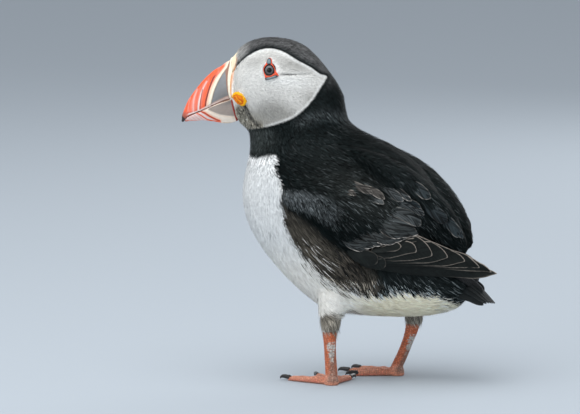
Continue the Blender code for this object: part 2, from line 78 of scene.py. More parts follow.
class Finish:
    """A material under construction. Its methods return Value objects, which take part in sums."""

    def __init__(self, name):
        self.material = bpy.data.materials.new(name)
        self.material.use_nodes = True
        self.tree = self.material.node_tree
        self.shader = self.tree.nodes["Principled BSDF"]

    def node(self, kind, settings=None, output=0, **inputs):
        made = self.tree.nodes.new("ShaderNode" + kind)
        for key, value in (settings or {}).items():
            setattr(made, key, value)
        for key, value in inputs.items():
            socket = made.inputs[int(key[1:])] if key[0] == "n" and key[1:].isdigit() else made.inputs[key]
            self.feed(socket, value)
        return Value(self, made.outputs[output])

    def feed(self, socket, value):
        if isinstance(value, Value):
            self.tree.links.new(value.socket, socket)
        elif socket.type == "RGBA" and len(value) == 3:
            socket.default_value = (*value, 1.0)
        else:
            socket.default_value = value

    def place(self):
        """Object coordinates, which are the frame's own."""
        return self.node("TexCoord", output="Object")

    def attribute(self, name, output="Fac"):
        return self.node("Attribute", {"attribute_name": name}, output)

    def axis(self, vector, letter):
        return self.node("SeparateXYZ", None, letter, n0=vector)

    def noise(self, scale, detail, vector=None):
        return self.node("TexNoise", None, 0, Vector=vector or self.place(), Scale=scale, Detail=detail)

    def mix(self, mask, low, high):
        """The colour low where the mask is 0 and high where it is 1."""
        return self.node("Mix", {"data_type": "RGBA"}, 2, n0=mask, n6=low, n7=high)

    def scaled(self, colour, amount):
        return self.node("VectorMath", {"operation": "SCALE"}, 0, n0=colour, Scale=amount)

    def ramp(self, value, low, high):
        """0 up to low, 1 from high, smooth between."""
        return self.node("MapRange", {"interpolation_type": "SMOOTHSTEP"}, 0, n0=value, n1=low, n2=high)

    def bump(self, height, strength, distance):
        """Raises the surface by the height times the distance, for shading only."""
        return self.node("Bump", None, 0, Height=height, Strength=strength, Distance=distance)

    def set(self, **values):
        for key, value in values.items():
            self.feed(self.shader.inputs[key.replace("_", " ")], value)
        return self.material


class Value:
    """The output of a shader node, with arithmetic on numbers as Math nodes."""

    def __init__(self, finish, socket):
        self.finish, self.socket = finish, socket

    def maths(self, operation, *values):
        numbered = {f"n{i}": v for i, v in enumerate(values)}
        return self.finish.node("Math", {"operation": operation}, 0, **numbered)

    def __add__(self, other):
        return self.maths("ADD", self, other)

    def __sub__(self, other):
        return self.maths("SUBTRACT", self, other)

    def __rsub__(self, other):
        return self.maths("SUBTRACT", other, self)

    def __mul__(self, other):
        return self.maths("MULTIPLY", self, other)

    def __truediv__(self, other):
        return self.maths("DIVIDE", self, other)

    def __pow__(self, other):
        return self.maths("POWER", self, other)

    __radd__ = __add__
    __rmul__ = __mul__

    def sine(self):
        return self.maths("SINE", self)


def deselect():
    for obj in bpy.context.selected_objects:
        obj.select_set(False)


deselect()
bpy.ops.mesh.primitive_plane_add(size=FLOOR_SIZE, location=(0, 0, 0))
floor = bpy.context.object
floor.name = floor.data.name = "floor"
floor_finish = Finish("floor")
floor.data.materials.append(floor_finish.set(Base_Color=FLOOR_COLOUR, Roughness=0.95, Specular_IOR_Level=0.1))


def object_of(data):
    """An object in the scene for this mesh, lamp or camera, under its name and at the origin."""
    made = bpy.data.objects.new(data.name, data)
    bpy.context.scene.collection.objects.link(made)
    return made


def area_light(name, place, aim, size, power):
    lamp = bpy.data.lights.new(name, "AREA")
    lamp.shape = "DISK"
    lamp.size = size
    lamp.energy = power
    obj = object_of(lamp)
    obj.location = place
    obj.rotation_euler = (Vector(aim) - Vector(place)).to_track_quat("-Z", "Y").to_euler()


bird_middle = Vector((0, 0, CAD_BOX[1][2] / 2))
area_light("sky_light", (0.5, -0.3, 1.7), bird_middle, 2.2, 30.0)
area_light("fill_light", (1.6, -0.9, 0.5), bird_middle, 1.4, 8.0)
area_light("far_light", (-1.5, 0.7, 0.8), bird_middle, 1.2, 7.0)
world = bpy.data.worlds.new("pale_surroundings")
world.use_nodes = True
world.node_tree.nodes["Background"].inputs["Color"].default_value = SURROUNDINGS_COLOUR
world.node_tree.nodes["Background"].inputs["Strength"].default_value = SURROUNDINGS_STRENGTH
bpy.context.scene.world = world
bpy.context.scene.view_settings.view_transform = "Standard"

BILL_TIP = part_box("bill_upper")[0].y  # how far forward the bird reaches
camera_data = bpy.data.cameras.new("camera")
camera = object_of(camera_data)
camera_data.sensor_width = SENSOR_WIDTH
camera_data.lens = SENSOR_WIDTH * VIEW_DISTANCE / FIELD_WIDTH
camera_data.clip_end = 20.0
sight = Vector((-math.sin(VIEW_AZIMUTH) * math.cos(VIEW_ELEVATION),
                math.cos(VIEW_AZIMUTH) * math.cos(VIEW_ELEVATION),
                -math.sin(VIEW_ELEVATION)))
camera.location = Vector((0, BILL_TIP + VIEW_BACK, VIEW_UP)) - sight * VIEW_DISTANCE
camera.rotation_euler = sight.to_track_quat("-Z", "Y").to_euler()
bpy.context.scene.camera = camera


# ----------------------------------------------------------------
# Skin. One closed skin runs under all the feathers of head, neck, trunk, thighs, wings and tail, so
# that no seam shows. It lies as deep under the outline as the feathers over it are thick.

FLESH = ["head", "neck", "trunk", "thigh_left", "thigh_right", "wing_left", "wing_right",
         "scapulars_left", "scapulars_right"]
UNDERLAY = ["eye_left", "eye_right", "eye_rim_left", "eye_rim_right", "eye_plate_upper_left",
            "eye_plate_upper_right", "eye_plate_lower_left", "eye_plate_lower_right", "bill_base_band", "bill_upper",
            "bill_lower", "gape_rosette_left", "gape_rosette_right", "shank_left", "shank_right"]
SKIN_GRID = 1.0 * MM
SKIN_SWELL = 0.35 * MM  # makes up for what the evening takes off
EYE_BACK, EYE_UP = 55.3, 188.3
SOCKET_RADIUS, SOCKET_DEPTH = 4.9, 1.6


def joined_copy(name, nodes):
    """One mesh object with copies of these nodes' meshes, their loose triangles merged."""
    work = bmesh.new()
    for node in nodes:
        work.from_mesh(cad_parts[node].data)
    bmesh.ops.remove_doubles(work, verts=work.verts, dist=0.002 * MM)
    mesh = bpy.data.meshes.new(name)
    work.to_mesh(mesh)
    work.free()
    return object_of(mesh)


def apply_modifiers(obj, *modifiers):
    """Adds these modifiers, given as (type, settings), in order, and applies each."""
    deselect()
    bpy.context.view_layer.objects.active = obj
    obj.select_set(True)
    for kind, settings in modifiers:
        step = obj.modifiers.new(kind.lower(), kind)
        for key, value in settings.items():
            setattr(step, key, value)
        bpy.ops.object.modifier_apply(modifier=step.name)


def columns(mesh, kind="co"):
    """The mesh's vertex places or normals as an array of rows."""
    values = np.empty(len(mesh.vertices) * 3)
    if kind == "co":
        mesh.vertices.foreach_get("co", values)
    else:
        mesh.vertex_normals.foreach_get("vector", values)
    return values.reshape(-1, 3)


def place_vertices(mesh, places):
    mesh.vertices.foreach_set("co", places.ravel())
    mesh.update()


def smoothstep(value, low, high):
    """0 up to low, 1 from high, smooth between."""
    share = np.clip((value - low) / (high - low), 0, 1)
    return share * share * (3 - 2 * share)


def back_up(points):
    """Millimetres behind the bill's tip, and above the floor, in which the plumage is laid out."""
    return np.stack([(points[:, 1] - BILL_TIP) / MM, points[:, 2] / MM], axis=1)


def curve_through(points, steps=8, closed=False):
    """A smooth curve through the points, as more points."""
    p = np.array(points, float)
    count = len(p) if closed else len(p) - 1
    made = []
    for i in range(count):
        if closed:
            a, b, c, d = (p[(i + k) % len(p)] for k in (-1, 0, 1, 2))
        else:
            a, b, c, d = (p[min(max(i + k, 0), len(p) - 1)] for k in (-1, 0, 1, 2))
        for t in np.arange(steps) / steps:
            made.append(0.5 * (2 * b + (c - a) * t + (2 * a - 5 * b + 4 * c - d) * t**2
                               + (3 * b - a - 3 * c + d) * t**3))
    if not closed:
        made.append(p[-1])
    return np.array(made)


def inside_by(outline, flat_points):
    """How deep inside the outline each flat point lies, in millimetres, and below 0 outside it."""
    x, y = flat_points[:, 0], flat_points[:, 1]
    nearest = np.full(len(x), 1e9)
    within = np.zeros(len(x), bool)
    for (ax, ay), (bx, by) in zip(outline, np.roll(outline, -1, axis=0)):
        dx, dy = bx - ax, by - ay
        share = np.clip(((x - ax) * dx + (y - ay) * dy) / max(dx * dx + dy * dy, 1e-12), 0, 1)
        nearest = np.minimum(nearest, np.hypot(x - ax - share * dx, y - ay - share * dy))
        crosses = (ay > y) != (by > y)
        within ^= crosses & (x < (bx - ax) * (y - ay) / (by - ay if by != ay else 1e-12) + ax)
    return np.where(within, nearest, -nearest)


def line_distance(line, flat_points):
    """Millimetres from each flat point to the nearest point of a line of points."""
    line = np.array(line, float)
    nearest = np.full(len(flat_points), 1e9)
    for a, b in zip(line[:-1], line[1:]):
        run = b - a
        share = np.clip(((flat_points - a) @ run) / (run @ run), 0, 1)
        nearest = np.minimum(nearest, np.linalg.norm(flat_points - a - share[:, None] * run, axis=1))
    return nearest


# Outlines of the markings on each side, as (behind the bill's tip, above the floor) in millimetres.
FACE = curve_through([(30, 184), (33.3, 187.9), (34.8, 190), (36.6, 191.9), (38.3, 193.6), (40.6, 195.5),
                      (43.2, 197.1), (46.2, 198.8), (49.5, 200), (53.5, 200.6), (58.9, 200.2), (64.7, 198),
                      (71.4, 194), (79.4, 189.6), (84.5, 186), (89.6, 184.4), (86.4, 179.2), (82.2, 172),
                      (77.6, 166.5), (70.5, 160.6), (61.7, 156.9), (54.1, 154.6), (42.6, 152.2), (34, 150),
                      (26, 156), (26, 172)], 6, closed=True)
CHIN = curve_through([(33, 165), (38.5, 169.6), (40.6, 167.8), (42.2, 164.9), (44.4, 161.8), (47.4, 158.3),
                      (51.6, 155.6), (51, 151), (40, 147), (28, 152)], 6, closed=True)
CHIN_FOLD = curve_through([(39.2, 167.0), (40.6, 163.8), (42.8, 160.6), (45.4, 157.6), (48.2, 155.6)], 4)
WHITE_UNDERSIDE = curve_through([(36, 134), (45.1, 133.9), (51.3, 136.4), (60.5, 138), (59, 133), (60.4, 127.2),
                                 (63.6, 122), (64, 117), (63, 111), (64.7, 106), (64.4, 99.8), (67.1, 93.6),
                                 (69.6, 87), (74.8, 80.5), (81.3, 73), (88.5, 66.5), (98, 60), (110, 58.5),
                                 (121, 56), (131.6, 58.6), (144.3, 56.6), (157.6, 53.4), (165, 50.6), (174, 44),
                                 (172, 30), (60, 20), (20, 90)], 5, closed=True)
FLANK = curve_through([(58, 126), (66, 117), (70, 106), (84, 96), (98, 84), (112, 75), (124, 64), (118, 52),
                       (90, 52), (68, 80), (58, 104)], 5, closed=True)
LESSER_COVERTS = curve_through([(64, 117), (73, 118), (81.7, 117), (90.2, 115.8), (98, 113.6), (104, 108),
                                (102, 100), (96, 95.5), (90, 98), (83.5, 102.3), (77, 104.8), (69.5, 106.5),
                                (64, 110)], 5, closed=True)
WING_TIP = curve_through([(110, 74), (112, 80), (119, 84), (128, 86), (135.5, 88), (139.5, 90), (144.7, 92),
                          (151.2, 88.8), (157.4, 85.3), (163.7, 82.5), (172.8, 79.3), (179.2, 75.3),
                          (187.1, 69.6), (192, 66.5), (178, 65), (150, 67), (130, 69.5), (118, 71.5)], 4, closed=True)
FAR_WING_SHIFT = (-7.0, -2.6)  # the right wing's tip lies this much further forward and up

# Dents in the plumage: a line, then its depth and half width. Behind the eye, at the chin, above the
# small coverts, and the gap between the shoulder's feathers and the back's.
SHOULDER_GAP = [(142.1, 117), (144.5, 114.1), (148.3, 110.1), (152.1, 104.5), (157.9, 99.5), (163.6, 94.8),
                (169.2, 89.3)]
DENTS = [
    ([(61.3, 185.4), (67.8, 185.7), (73.6, 185.9), (80.0, 186.0)], 0.75, 0.8),
    ([(42.0, 170), (44.6, 166.5), (47, 162), (50.5, 157.5)], 0.8, 1.6),
    ([(66, 119.6), (73.5, 120), (81.9, 119), (90.4, 117.6), (96, 116.2)], 0.9, 1.1),
    (SHOULDER_GAP, 2.2, 1.5),
    ([(157.9, 98.5), (163.6, 93.4), (168.2, 88.3)], 1.2, 2.6),
]

# Feather colours.
BLACK = (0.0024, 0.0050, 0.0052)
NECK_SHEEN_BLACK = (0.0075, 0.0115, 0.0120)
NAPE_GREY = (0.043, 0.051, 0.053)
BACK_GREY = (0.012, 0.0165, 0.0170)
LIT_THROAT_GREY = (0.046, 0.054, 0.052)
CROWN_GREY = (0.118, 0.119, 0.120)
FOREHEAD_GREY = (0.48, 0.475, 0.46)
FACE_WHITE = (0.84, 0.835, 0.805)
FACE_GREY = (0.41, 0.405, 0.38)
FACE_RIM = (0.90, 0.905, 0.885)
STRAP_EDGE_CREAM = (0.90, 0.78, 0.56)
STRAP_EDGE_ORANGE = (0.80, 0.30, 0.08)
CHIN_GREY = (0.37, 0.345, 0.285)
CREASE_SHADE = (0.085, 0.083, 0.077)
BREAST_WHITE = (0.83, 0.845, 0.842)
BELLY_WHITE = (0.92, 0.905, 0.855)
VENT_CREAM = (0.95, 0.89, 0.70)
FLANK_BROWN = (0.062, 0.056, 0.046)
COVERT_SHEEN_GREY = (0.080, 0.090, 0.094)
SCAPULAR_BROWN = (0.020, 0.023, 0.022)
THIGH_GREY = (0.33, 0.30, 0.25)
JAW_SKIN = (0.35, 0.20, 0.15)


class Paint:
    """Colours at many places, each new one laid over the last as far as its mask says."""

    def __init__(self, first, count):
        self.colours = np.tile(np.array(first), (count, 1))

    def over(self, colour, mask):
        self.colours = self.colours + (np.array(colour) - self.colours) * np.clip(mask, 0, 1)[:, None]
        return self.colours


def around(at, back, up, along, across, tilt=0.0):
    """A soft spot: 1 in the middle, falling off this many millimetres along and across its long axis."""
    x, y = at[:, 0] - back, at[:, 1] - up
    turn = math.radians(tilt)
    u = x * math.cos(turn) - y * math.sin(turn)
    v = x * math.sin(turn) + y * math.cos(turn)
    return np.exp(-((u / along) ** 2 + (v / across) ** 2))


def nape_band(at):
    """How strongly each place belongs to the paler band of fine feathers across the nape."""
    middle = np.interp(at[:, 0], [74.4, 81.9, 89.1, 96.0, 101], [157.8, 160.8, 162.3, 160.9, 158.2])
    return np.exp(-(((at[:, 1] - middle) / 3.4) ** 2)) * smoothstep(at[:, 0], 67, 76)


def markings_and_shade(points):
    """The plumage's colour at each place, its markings with painted light and shade, the same for the skin and for the
    feathers rooted there.
    """
    at = back_up(points)
    back, up = at[:, 0], at[:, 1]
    side = np.abs(points[:, 0]) / MM
    paint = Paint(BLACK, len(points))
    # the neck's black, lighter than the body's with a painted sheen
    neck = smoothstep(up, 130, 146) * smoothstep(110 - back, 0, 22)
    paint.over(NECK_SHEEN_BLACK, neck)
    # painted light: the neck's front paler where it faces the light
    paint.over(LIT_THROAT_GREY, neck * smoothstep(66 - back, 0, 22) * smoothstep(156 - up, 0, 6))
    paint.over(NAPE_GREY, nape_band(at) * 0.85)
    paint.over(SCAPULAR_BROWN, around(at, 121, 112, 34, 12, 28) * 0.9)
    paint.over(BACK_GREY, 0.8 * around(at, 150, 112, 26, 14, 55) + 0.7 * smoothstep(72 - up, 0, 8))
    face_depth = inside_by(FACE, at) - 0.22 * np.maximum(11.5 - side, 0) * smoothstep(back, 79, 87)
    crown = smoothstep(up, 174, 186) * smoothstep(98 - back, 0, 12)
    paint.over(CROWN_GREY, crown * smoothstep(-face_depth, 0.2, 4.0) * 0.95)
    paint.over(FOREHEAD_GREY, crown * smoothstep(44.5 - back, 0, 11) * smoothstep(-face_depth, 0.3, 2.2))
    white = smoothstep(inside_by(WHITE_UNDERSIDE, at), -0.6, 0.6)
    paint.over(BREAST_WHITE, white)
    # warmer and creamier on the belly and towards the vent, partly the feathers' own tone and partly painted light
    # reflected from the ground
    paint.over(BELLY_WHITE, white * smoothstep(92 - up, 0, 30))
    paint.over(VENT_CREAM, white * smoothstep(back, 92, 124) * smoothstep(72 - up, 0, 20))
    flank = smoothstep(inside_by(FLANK, at), -2, 4) * smoothstep(side, 14, 24)
    paint.over(FLANK_BROWN, flank * (1 - white) * 0.9)
    # painted sheen: the small coverts' black feathers paler grey where they catch the light, less so to the rear
    lesser = smoothstep(inside_by(LESSER_COVERTS, at), -1.0, 3.5) * (1 - white)
    paint.over(COVERT_SHEEN_GREY, lesser * (1 - 0.6 * smoothstep(back, 83, 95)))
    face = smoothstep(face_depth, -0.3, 0.3) * smoothstep(up, 146, 150)
    paint.over(FACE_WHITE, face)
    # painted shade over the face's own grey: greyer above the furrow, below the eye and towards the chin, where the
    # face turns from the light
    above = around(at, 71, 191.5, 13, 4.5, 8) + 0.7 * around(at, 46, 193, 7, 4, -20)
    below = 0.8 * around(at, 61, 161.5, 15, 7.5, 20) + 0.55 * around(at, 50.5, 158.5, 8, 5, 30)
    below += 0.45 * around(at, 81, 171, 7, 5, 50)
    shaded = 0.64 * above + 1.38 * below + 0.12 * smoothstep(back, 44, 60)
    paint.over(FACE_GREY, face * np.clip(shaded, 0, 1.15))
    rim = smoothstep(2.0 - face_depth, 0, 1.6) * smoothstep(back, 38, 46)
    paint.over(FACE_RIM, face * rim * 0.9)
    # painted light: a paler band below the furrow, where the feathers face up into the light
    paint.over(FACE_RIM, face * np.clip(around(at, 66, 181.5, 15, 4.0, 4), 0, 1) * 0.8)
    paint.over(CHIN_GREY, face * 0.65 * around(at, 49, 157.8, 6, 3.4, 35))
    chin = smoothstep(inside_by(CHIN, at), -0.9, 1.5)
    paint.over(FACE_GREY, face * smoothstep(inside_by(CHIN, at), -6, 0) * 0.45)
    paint.over(CHIN_GREY, face * chin)
    # painted shade in the chin's fold
    crease = np.exp(-((np.linalg.norm(at[:, None] - CHIN_FOLD[None], axis=2).min(1) / 1.7) ** 2))
    paint.over(CREASE_SHADE, face * chin * crease * 0.85)
    # painted shade along the furrow behind the eye
    furrow = np.abs(up - 185.8) + 0.04 * np.abs(back - 66)
    paint.over(CREASE_SHADE, face * smoothstep(0.8 - furrow, 0, 0.6) * smoothstep(back, 60, 62)
               * smoothstep(84 - back, 0, 12) * 0.8)
    paint.over(FACE_RIM, face * smoothstep(7.4 - np.hypot(back - 55.6, up - 187.8), 0, 1.5) * 0.7)
    strap_rear = np.interp(up, [184, 187, 190, 193, 196], [31.2, 31.8, 32.8, 33.8, 34.3])
    paint.over(STRAP_EDGE_CREAM, smoothstep(strap_rear - back, 0, 0.9) * smoothstep(up, 182, 191))
    line = np.exp(-(((back - strap_rear - 0.1) / 0.5) ** 2)) * smoothstep(up, 176, 184) * smoothstep(196 - up, 0, 3)
    paint.over(STRAP_EDGE_ORANGE, line * 0.8)
    paint.over(JAW_SKIN, smoothstep(30.5 - back, 0, 0.8))
    left_thigh = around(at, 93, 33, 12, 13) * (points[:, 0] > 0)
    right_thigh = around(at, 139, 33, 12, 14) * (points[:, 0] < 0)
    return paint.over(THIGH_GREY, smoothstep(left_thigh + right_thigh, 0.25, 0.75))


skin = joined_copy("skin", FLESH + UNDERLAY)  # it also runs on, out of sight, under bill, eyes and shanks
apply_modifiers(
    skin,
    ("DISPLACE", {"strength": SKIN_SWELL, "mid_level": 0.0}),
    ("REMESH", {"mode": "VOXEL", "voxel_size": SKIN_GRID}),
    ("SMOOTH", {"factor": 0.5, "iterations": 26}),
)
outer = columns(skin.data)  # the outline of the plumage, which the skin lies under
outward = columns(skin.data, "normal")
forehead = 1.0 * around(back_up(outer), 42, 200, 14, 6, -38) + 1.1 * around(back_up(outer), 34.5, 193.5, 5, 4, -50)
outer += outward * (forehead * smoothstep(11 - np.abs(outer[:, 0]) / MM, 0, 6) * MM)[:, None]


def under_wing(points):
    """How deep inside the outline of its side's folded wing tip each place lies, in millimetres."""
    at = back_up(points)
    return inside_by(WING_TIP, at - np.where(points[:, :1] < 0, FAR_WING_SHIFT, (0, 0)))


def relief(points):
    """How far the plumage sinks below its even surface, in metres: in its dents and under the wing tips."""
    at = back_up(points)
    sink = 3.6 * smoothstep(under_wing(points), -0.6, 1.4) * (np.abs(points[:, 0]) > 6 * MM)
    for line, depth, width in DENTS:
        sink += depth * np.exp(-((line_distance(line, at) / width) ** 2))
    return sink * MM


def coat_depth(points):
    """How thick the feathers lie, in metres: least by the bill and on the shanks, most on the body."""
    at = back_up(points)
    depth = 0.9 + 0.7 * smoothstep(at[:, 0], 40, 62) * smoothstep(190 - at[:, 1], 0, 30)
    depth += 0.6 * smoothstep(150 - at[:, 1], 0, 20)
    depth *= 0.45 + 0.55 * smoothstep(at[:, 1], 34, 46)
    return (depth + 1.0 * smoothstep(32.5 - at[:, 1], 0, 2)) * MM


from_eye = np.hypot(*(back_up(outer) - (EYE_BACK, EYE_UP)).T)
socket = smoothstep(SOCKET_RADIUS - from_eye, 0, 1.3) * (np.abs(outer[:, 0]) > 0.008)
sink = coat_depth(outer) + SOCKET_DEPTH * MM * socket
sink += relief(outer) * (back_up(outer)[:, 1] < 150)
place_vertices(skin.data, outer - outward * sink[:, None])
skin.data.shade_smooth()


def store_colours(mesh, name, colours):
    """Keeps one colour for each vertex as the attribute that the piece's finish reads."""
    layer = mesh.attributes.new(name, "FLOAT_COLOR", "POINT")
    rgba = np.concatenate([colours, np.ones((len(colours), 1))], axis=1)
    layer.data.foreach_set("color", rgba.ravel())


store_colours(skin.data, "plumage", markings_and_shade(outer))


def plumage_finish(name, roughness):
    """Feathers: their colour of markings with painted light and shade, broken by fine grain, with a soft sheen."""
    finish = Finish(name)
    colour = finish.attribute("plumage", "Color")
    grain = finish.noise(1400.0, 3.0)
    shade = finish.scaled(colour, 0.85 + grain * 0.3)
    return finish.set(Base_Color=shade, Roughness=roughness, Specular_IOR_Level=0.06,
                      Normal=finish.bump(grain, 0.3, 0.0002))


skin.data.materials.append(plumage_finish("skin", 0.8))
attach(skin, "root")
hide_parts(*FLESH)


# ----------------------------------------------------------------
# Contour feathers. Small soft feathers cover the skin, each rooted in it and lying back along the
# body over the next ones: short and fine on the face, longest on the flanks and belly.

# The lie of the feathers: behind the bill's tip, above the floor, and degrees below straight back.
LIE = np.array([
    (30, 180, 8), (32, 192, -35), (38, 200, -28), (46, 204, -16), (57, 206, 0), (72, 203, 18), (85, 194, 40),
    (94, 180, 60), (98, 165, 72), (100, 152, 62), (106, 144, 42), (45, 190, -4), (55, 195, -2), (66, 192, 8),
    (78, 189, 14), (62, 182, 14), (75, 179, 26), (85, 180, 34), (60, 172, 34), (75, 168, 44), (50, 165, 44),
    (62, 159, 48), (45, 157, 55), (36, 156, 45), (40, 150, 48), (41, 168, 36), (42, 143, 84), (44, 134, 92),
    (60, 146, 62), (75, 150, 62), (88, 158, 64), (92, 146, 50), (40, 120, 95), (38, 105, 88), (43, 85, 74),
    (53, 67, 58), (66, 52, 47), (80, 42, 36), (95, 36, 14), (120, 36, 0), (150, 40, -6), (172, 45, 0),
    (57, 120, 78), (57, 100, 70), (64, 80, 58), (76, 66, 46), (92, 54, 30), (112, 48, 12), (132, 47, 6),
    (155, 47, 2), (68, 106, 50), (76, 90, 44), (90, 80, 38), (103, 70, 44), (113, 64, 78), (122, 63, 68),
    (134, 63, 54), (148, 60, 40), (165, 56, 24), (74, 113, 52), (90, 108, 50), (106, 102, 46), (122, 94, 34),
    (140, 90, 22), (62, 136, 34), (76, 138, 26), (92, 137, 30), (108, 133, 32), (122, 124, 38), (68, 126, 30),
    (84, 124, 24), (100, 120, 28), (115, 112, 35), (130, 108, 38), (144, 100, 40), (136, 116, 44),
    (150, 104, 54), (158, 92, 58), (162, 82, 48), (172, 70, 40), (180, 58, 30), (188, 48, 26), (70, 36, 88),
    (140, 36, 84), (85, 112, 50)], float)


def lie_at(points):
    """Unit directions in which the feathers at these places point, before they are laid on the skin."""
    at = back_up(points)
    near = ((at[:, None, :] - LIE[None, :, :2]) ** 2).sum(2)
    weight = 1 / (near + 9.0) ** 2
    angle = np.radians(LIE[:, 2])
    across = (weight * np.cos(angle)).sum(1)
    down = (weight * np.sin(angle)).sum(1)
    legs = on_thigh(points) & (at[:, 1] < 40)
    across[legs], down[legs] = 0.35, 1.0
    return unit(np.stack([np.zeros(len(points)), across, -down], axis=1))


def on_thigh(points):
    """Whether each place is on the feathered part of its side's leg."""
    at = back_up(points)
    left = (np.abs(at[:, 0] - 93) < 11) & (points[:, 0] > 0)
    right = (np.abs(at[:, 0] - 139) < 10) & (points[:, 0] < 0)
    return (left | right) & (at[:, 1] < 45.5)


def unit(vectors):
    return vectors / np.maximum(np.linalg.norm(vectors, axis=-1, keepdims=True), 1e-12)


def on_surface(vectors, normals):
    """The vectors with the part along the normals taken off, as unit vectors."""
    return unit(vectors - normals * (vectors * normals).sum(-1, keepdims=True))


skin_faces = [tuple(p.vertices) for p in skin.data.polygons]
outer_tree = BVHTree.FromPolygons([Vector(v) for v in outer], skin_faces)
faces = np.array([face for face in skin_faces if len(face) == 4])


def scatter(spacing_at, seed):
    """Places spread over the body about this many metres apart, with their faces and where on each."""
    draw = np.random.default_rng(seed)
    corners = outer[faces]
    middles = corners.mean(1)
    spacing = spacing_at(middles)
    areas = np.linalg.norm(np.cross(corners[:, 2] - corners[:, 0], corners[:, 3] - corners[:, 1]), axis=1) / 2
    share = np.where(np.isfinite(spacing), areas / np.where(np.isfinite(spacing), spacing, 1) ** 2, 0)
    chosen = draw.choice(len(faces), int(share.sum() * 5), p=share / share.sum())
    u, v = draw.random((2, len(chosen), 1))
    a, b, c, d = (corners[chosen, i] for i in range(4))
    found = (a * (1 - u) + b * u) * (1 - v) + (d * (1 - u) + c * u) * v
    reach = spacing[chosen]
    tree = kdtree.KDTree(len(found))
    for i, place in enumerate(found):
        tree.insert(place, i)
    tree.balance()
    alive = np.ones(len(found), bool)
    for i in range(len(found)):
        if alive[i]:
            for _, j, _ in tree.find_range(found[i], reach[i]):
                if j > i:
                    alive[j] = False
    keep = np.flatnonzero(alive)
    return found[keep], chosen[keep], np.concatenate([u, v], 1)[keep]


def march(roots, lengths, rows, turn):
    """Each feather's middle line over the body: places, normals and directions at each of its rows."""
    places, normals, ways = [], [], []
    here = roots.copy()
    before = None
    for _ in range(rows):
        hit = [outer_tree.find_nearest(place) for place in here]
        here = np.array([h[0] for h in hit])
        normal = unit(np.array([h[1] for h in hit]))
        if before is None:
            way = on_surface(lie_at(here), normal)
            way = unit(way * np.cos(turn)[:, None] + np.cross(normal, way) * np.sin(turn)[:, None])
        else:
            way = on_surface(0.6 * before + 0.4 * on_surface(lie_at(here), normal), normal)
        before = way
        places.append(here)
        normals.append(normal)
        ways.append(way)
        here = here + way * (lengths / (rows - 1))[:, None]
    return np.stack(places, 1), np.stack(normals, 1), np.stack(ways, 1)


def read_rows(values, share):
    """Values between the rows of a middle line, at these shares of its length."""
    rows = values.shape[1]
    at = np.clip(share, 0, 1) * (rows - 1)
    low = np.minimum(at.astype(int), rows - 2)
    part = (at - low)[..., None]
    index = np.arange(len(values))[:, None]
    return values[index, low] * (1 - part) + values[index, low + 1] * part


# The skin's unwrap, where each feather finds its own small patch.
deselect()
bpy.context.view_layer.objects.active = skin
skin.select_set(True)
bpy.ops.object.mode_set(mode="EDIT")
bpy.ops.mesh.select_all(action="SELECT")
bpy.ops.uv.smart_project(angle_limit=1.15, island_margin=0.004, scale_to_bounds=True)
bpy.ops.object.mode_set(mode="OBJECT")
skin.data.uv_layers[0].name = "OFBake"
loop_uv = np.empty(len(skin.data.loops) * 2)
skin.data.uv_layers[0].data.foreach_get("uv", loop_uv)
loop_uv = loop_uv.reshape(-1, 2)
quad_loops = np.array([p.loop_start for p in skin.data.polygons if len(p.vertices) == 4])
PATCH = 0.003  # how much of the map one feather takes


def skin_places_on_map(chosen, share):
    """Where each feather's root lies on the skin's map, from its face and its place on that face."""
    a, b, c, d = (loop_uv[quad_loops[chosen] + i] for i in range(4))
    u, v = share[:, :1], share[:, 1:]
    return (a * (1 - u) + b * u) * (1 - v) + (d * (1 - u) + c * u) * v


def blade_shape(rows, outline):
    """One blade as a strip: its (along, across) corners and its triangles, closed to a point."""
    corners, triangles = [], []
    for row in range(rows):
        for side in (-1, 1):
            corners.append((row / rows, side * outline(row / rows)))
    corners.append((1.0, 0.0))
    for a in range(0, 2 * rows - 2, 2):
        triangles += [(a, a + 1, a + 3), (a, a + 3, a + 2)]
    triangles.append((2 * rows - 2, 2 * rows - 1, 2 * rows))
    return np.array(corners), np.array(triangles)


STRAND_GREY = (0.205, 0.232, 0.238)  # painted glints: the paler barbs that catch the light on black feathers
STRAND_BROWN = (0.25, 0.22, 0.18)


def barb_glint_share(points):
    """How many of the paler barbs show as painted glints: most on the shoulder, small coverts, nape and throat."""
    at = back_up(points)
    share = 0.09 + 0.95 * around(at, 122, 108, 32, 14, 28)
    share += (0.8 - 0.45 * smoothstep(at[:, 0], 84, 94)) * smoothstep(inside_by(LESSER_COVERTS, at), -1, 3)
    share += 0.6 * around(at, 93, 166, 10, 13) + 0.35 * around(at, 42, 143, 12, 12)
    share += 0.55 * around(at, 150, 112, 26, 14, 55) + 1.5 * smoothstep(70 - at[:, 1], 0, 4)
    from_gap = np.linalg.norm(at[:, None] - np.array(SHOULDER_GAP)[None], axis=2).min(1)
    return share * (1 - np.exp(-((from_gap / 3.0) ** 2)))


MOST_AT_ONCE = 190000  # triangles of one sort of feather kept together
MOST_IN_PIECE = 195000  # triangles in one finished piece


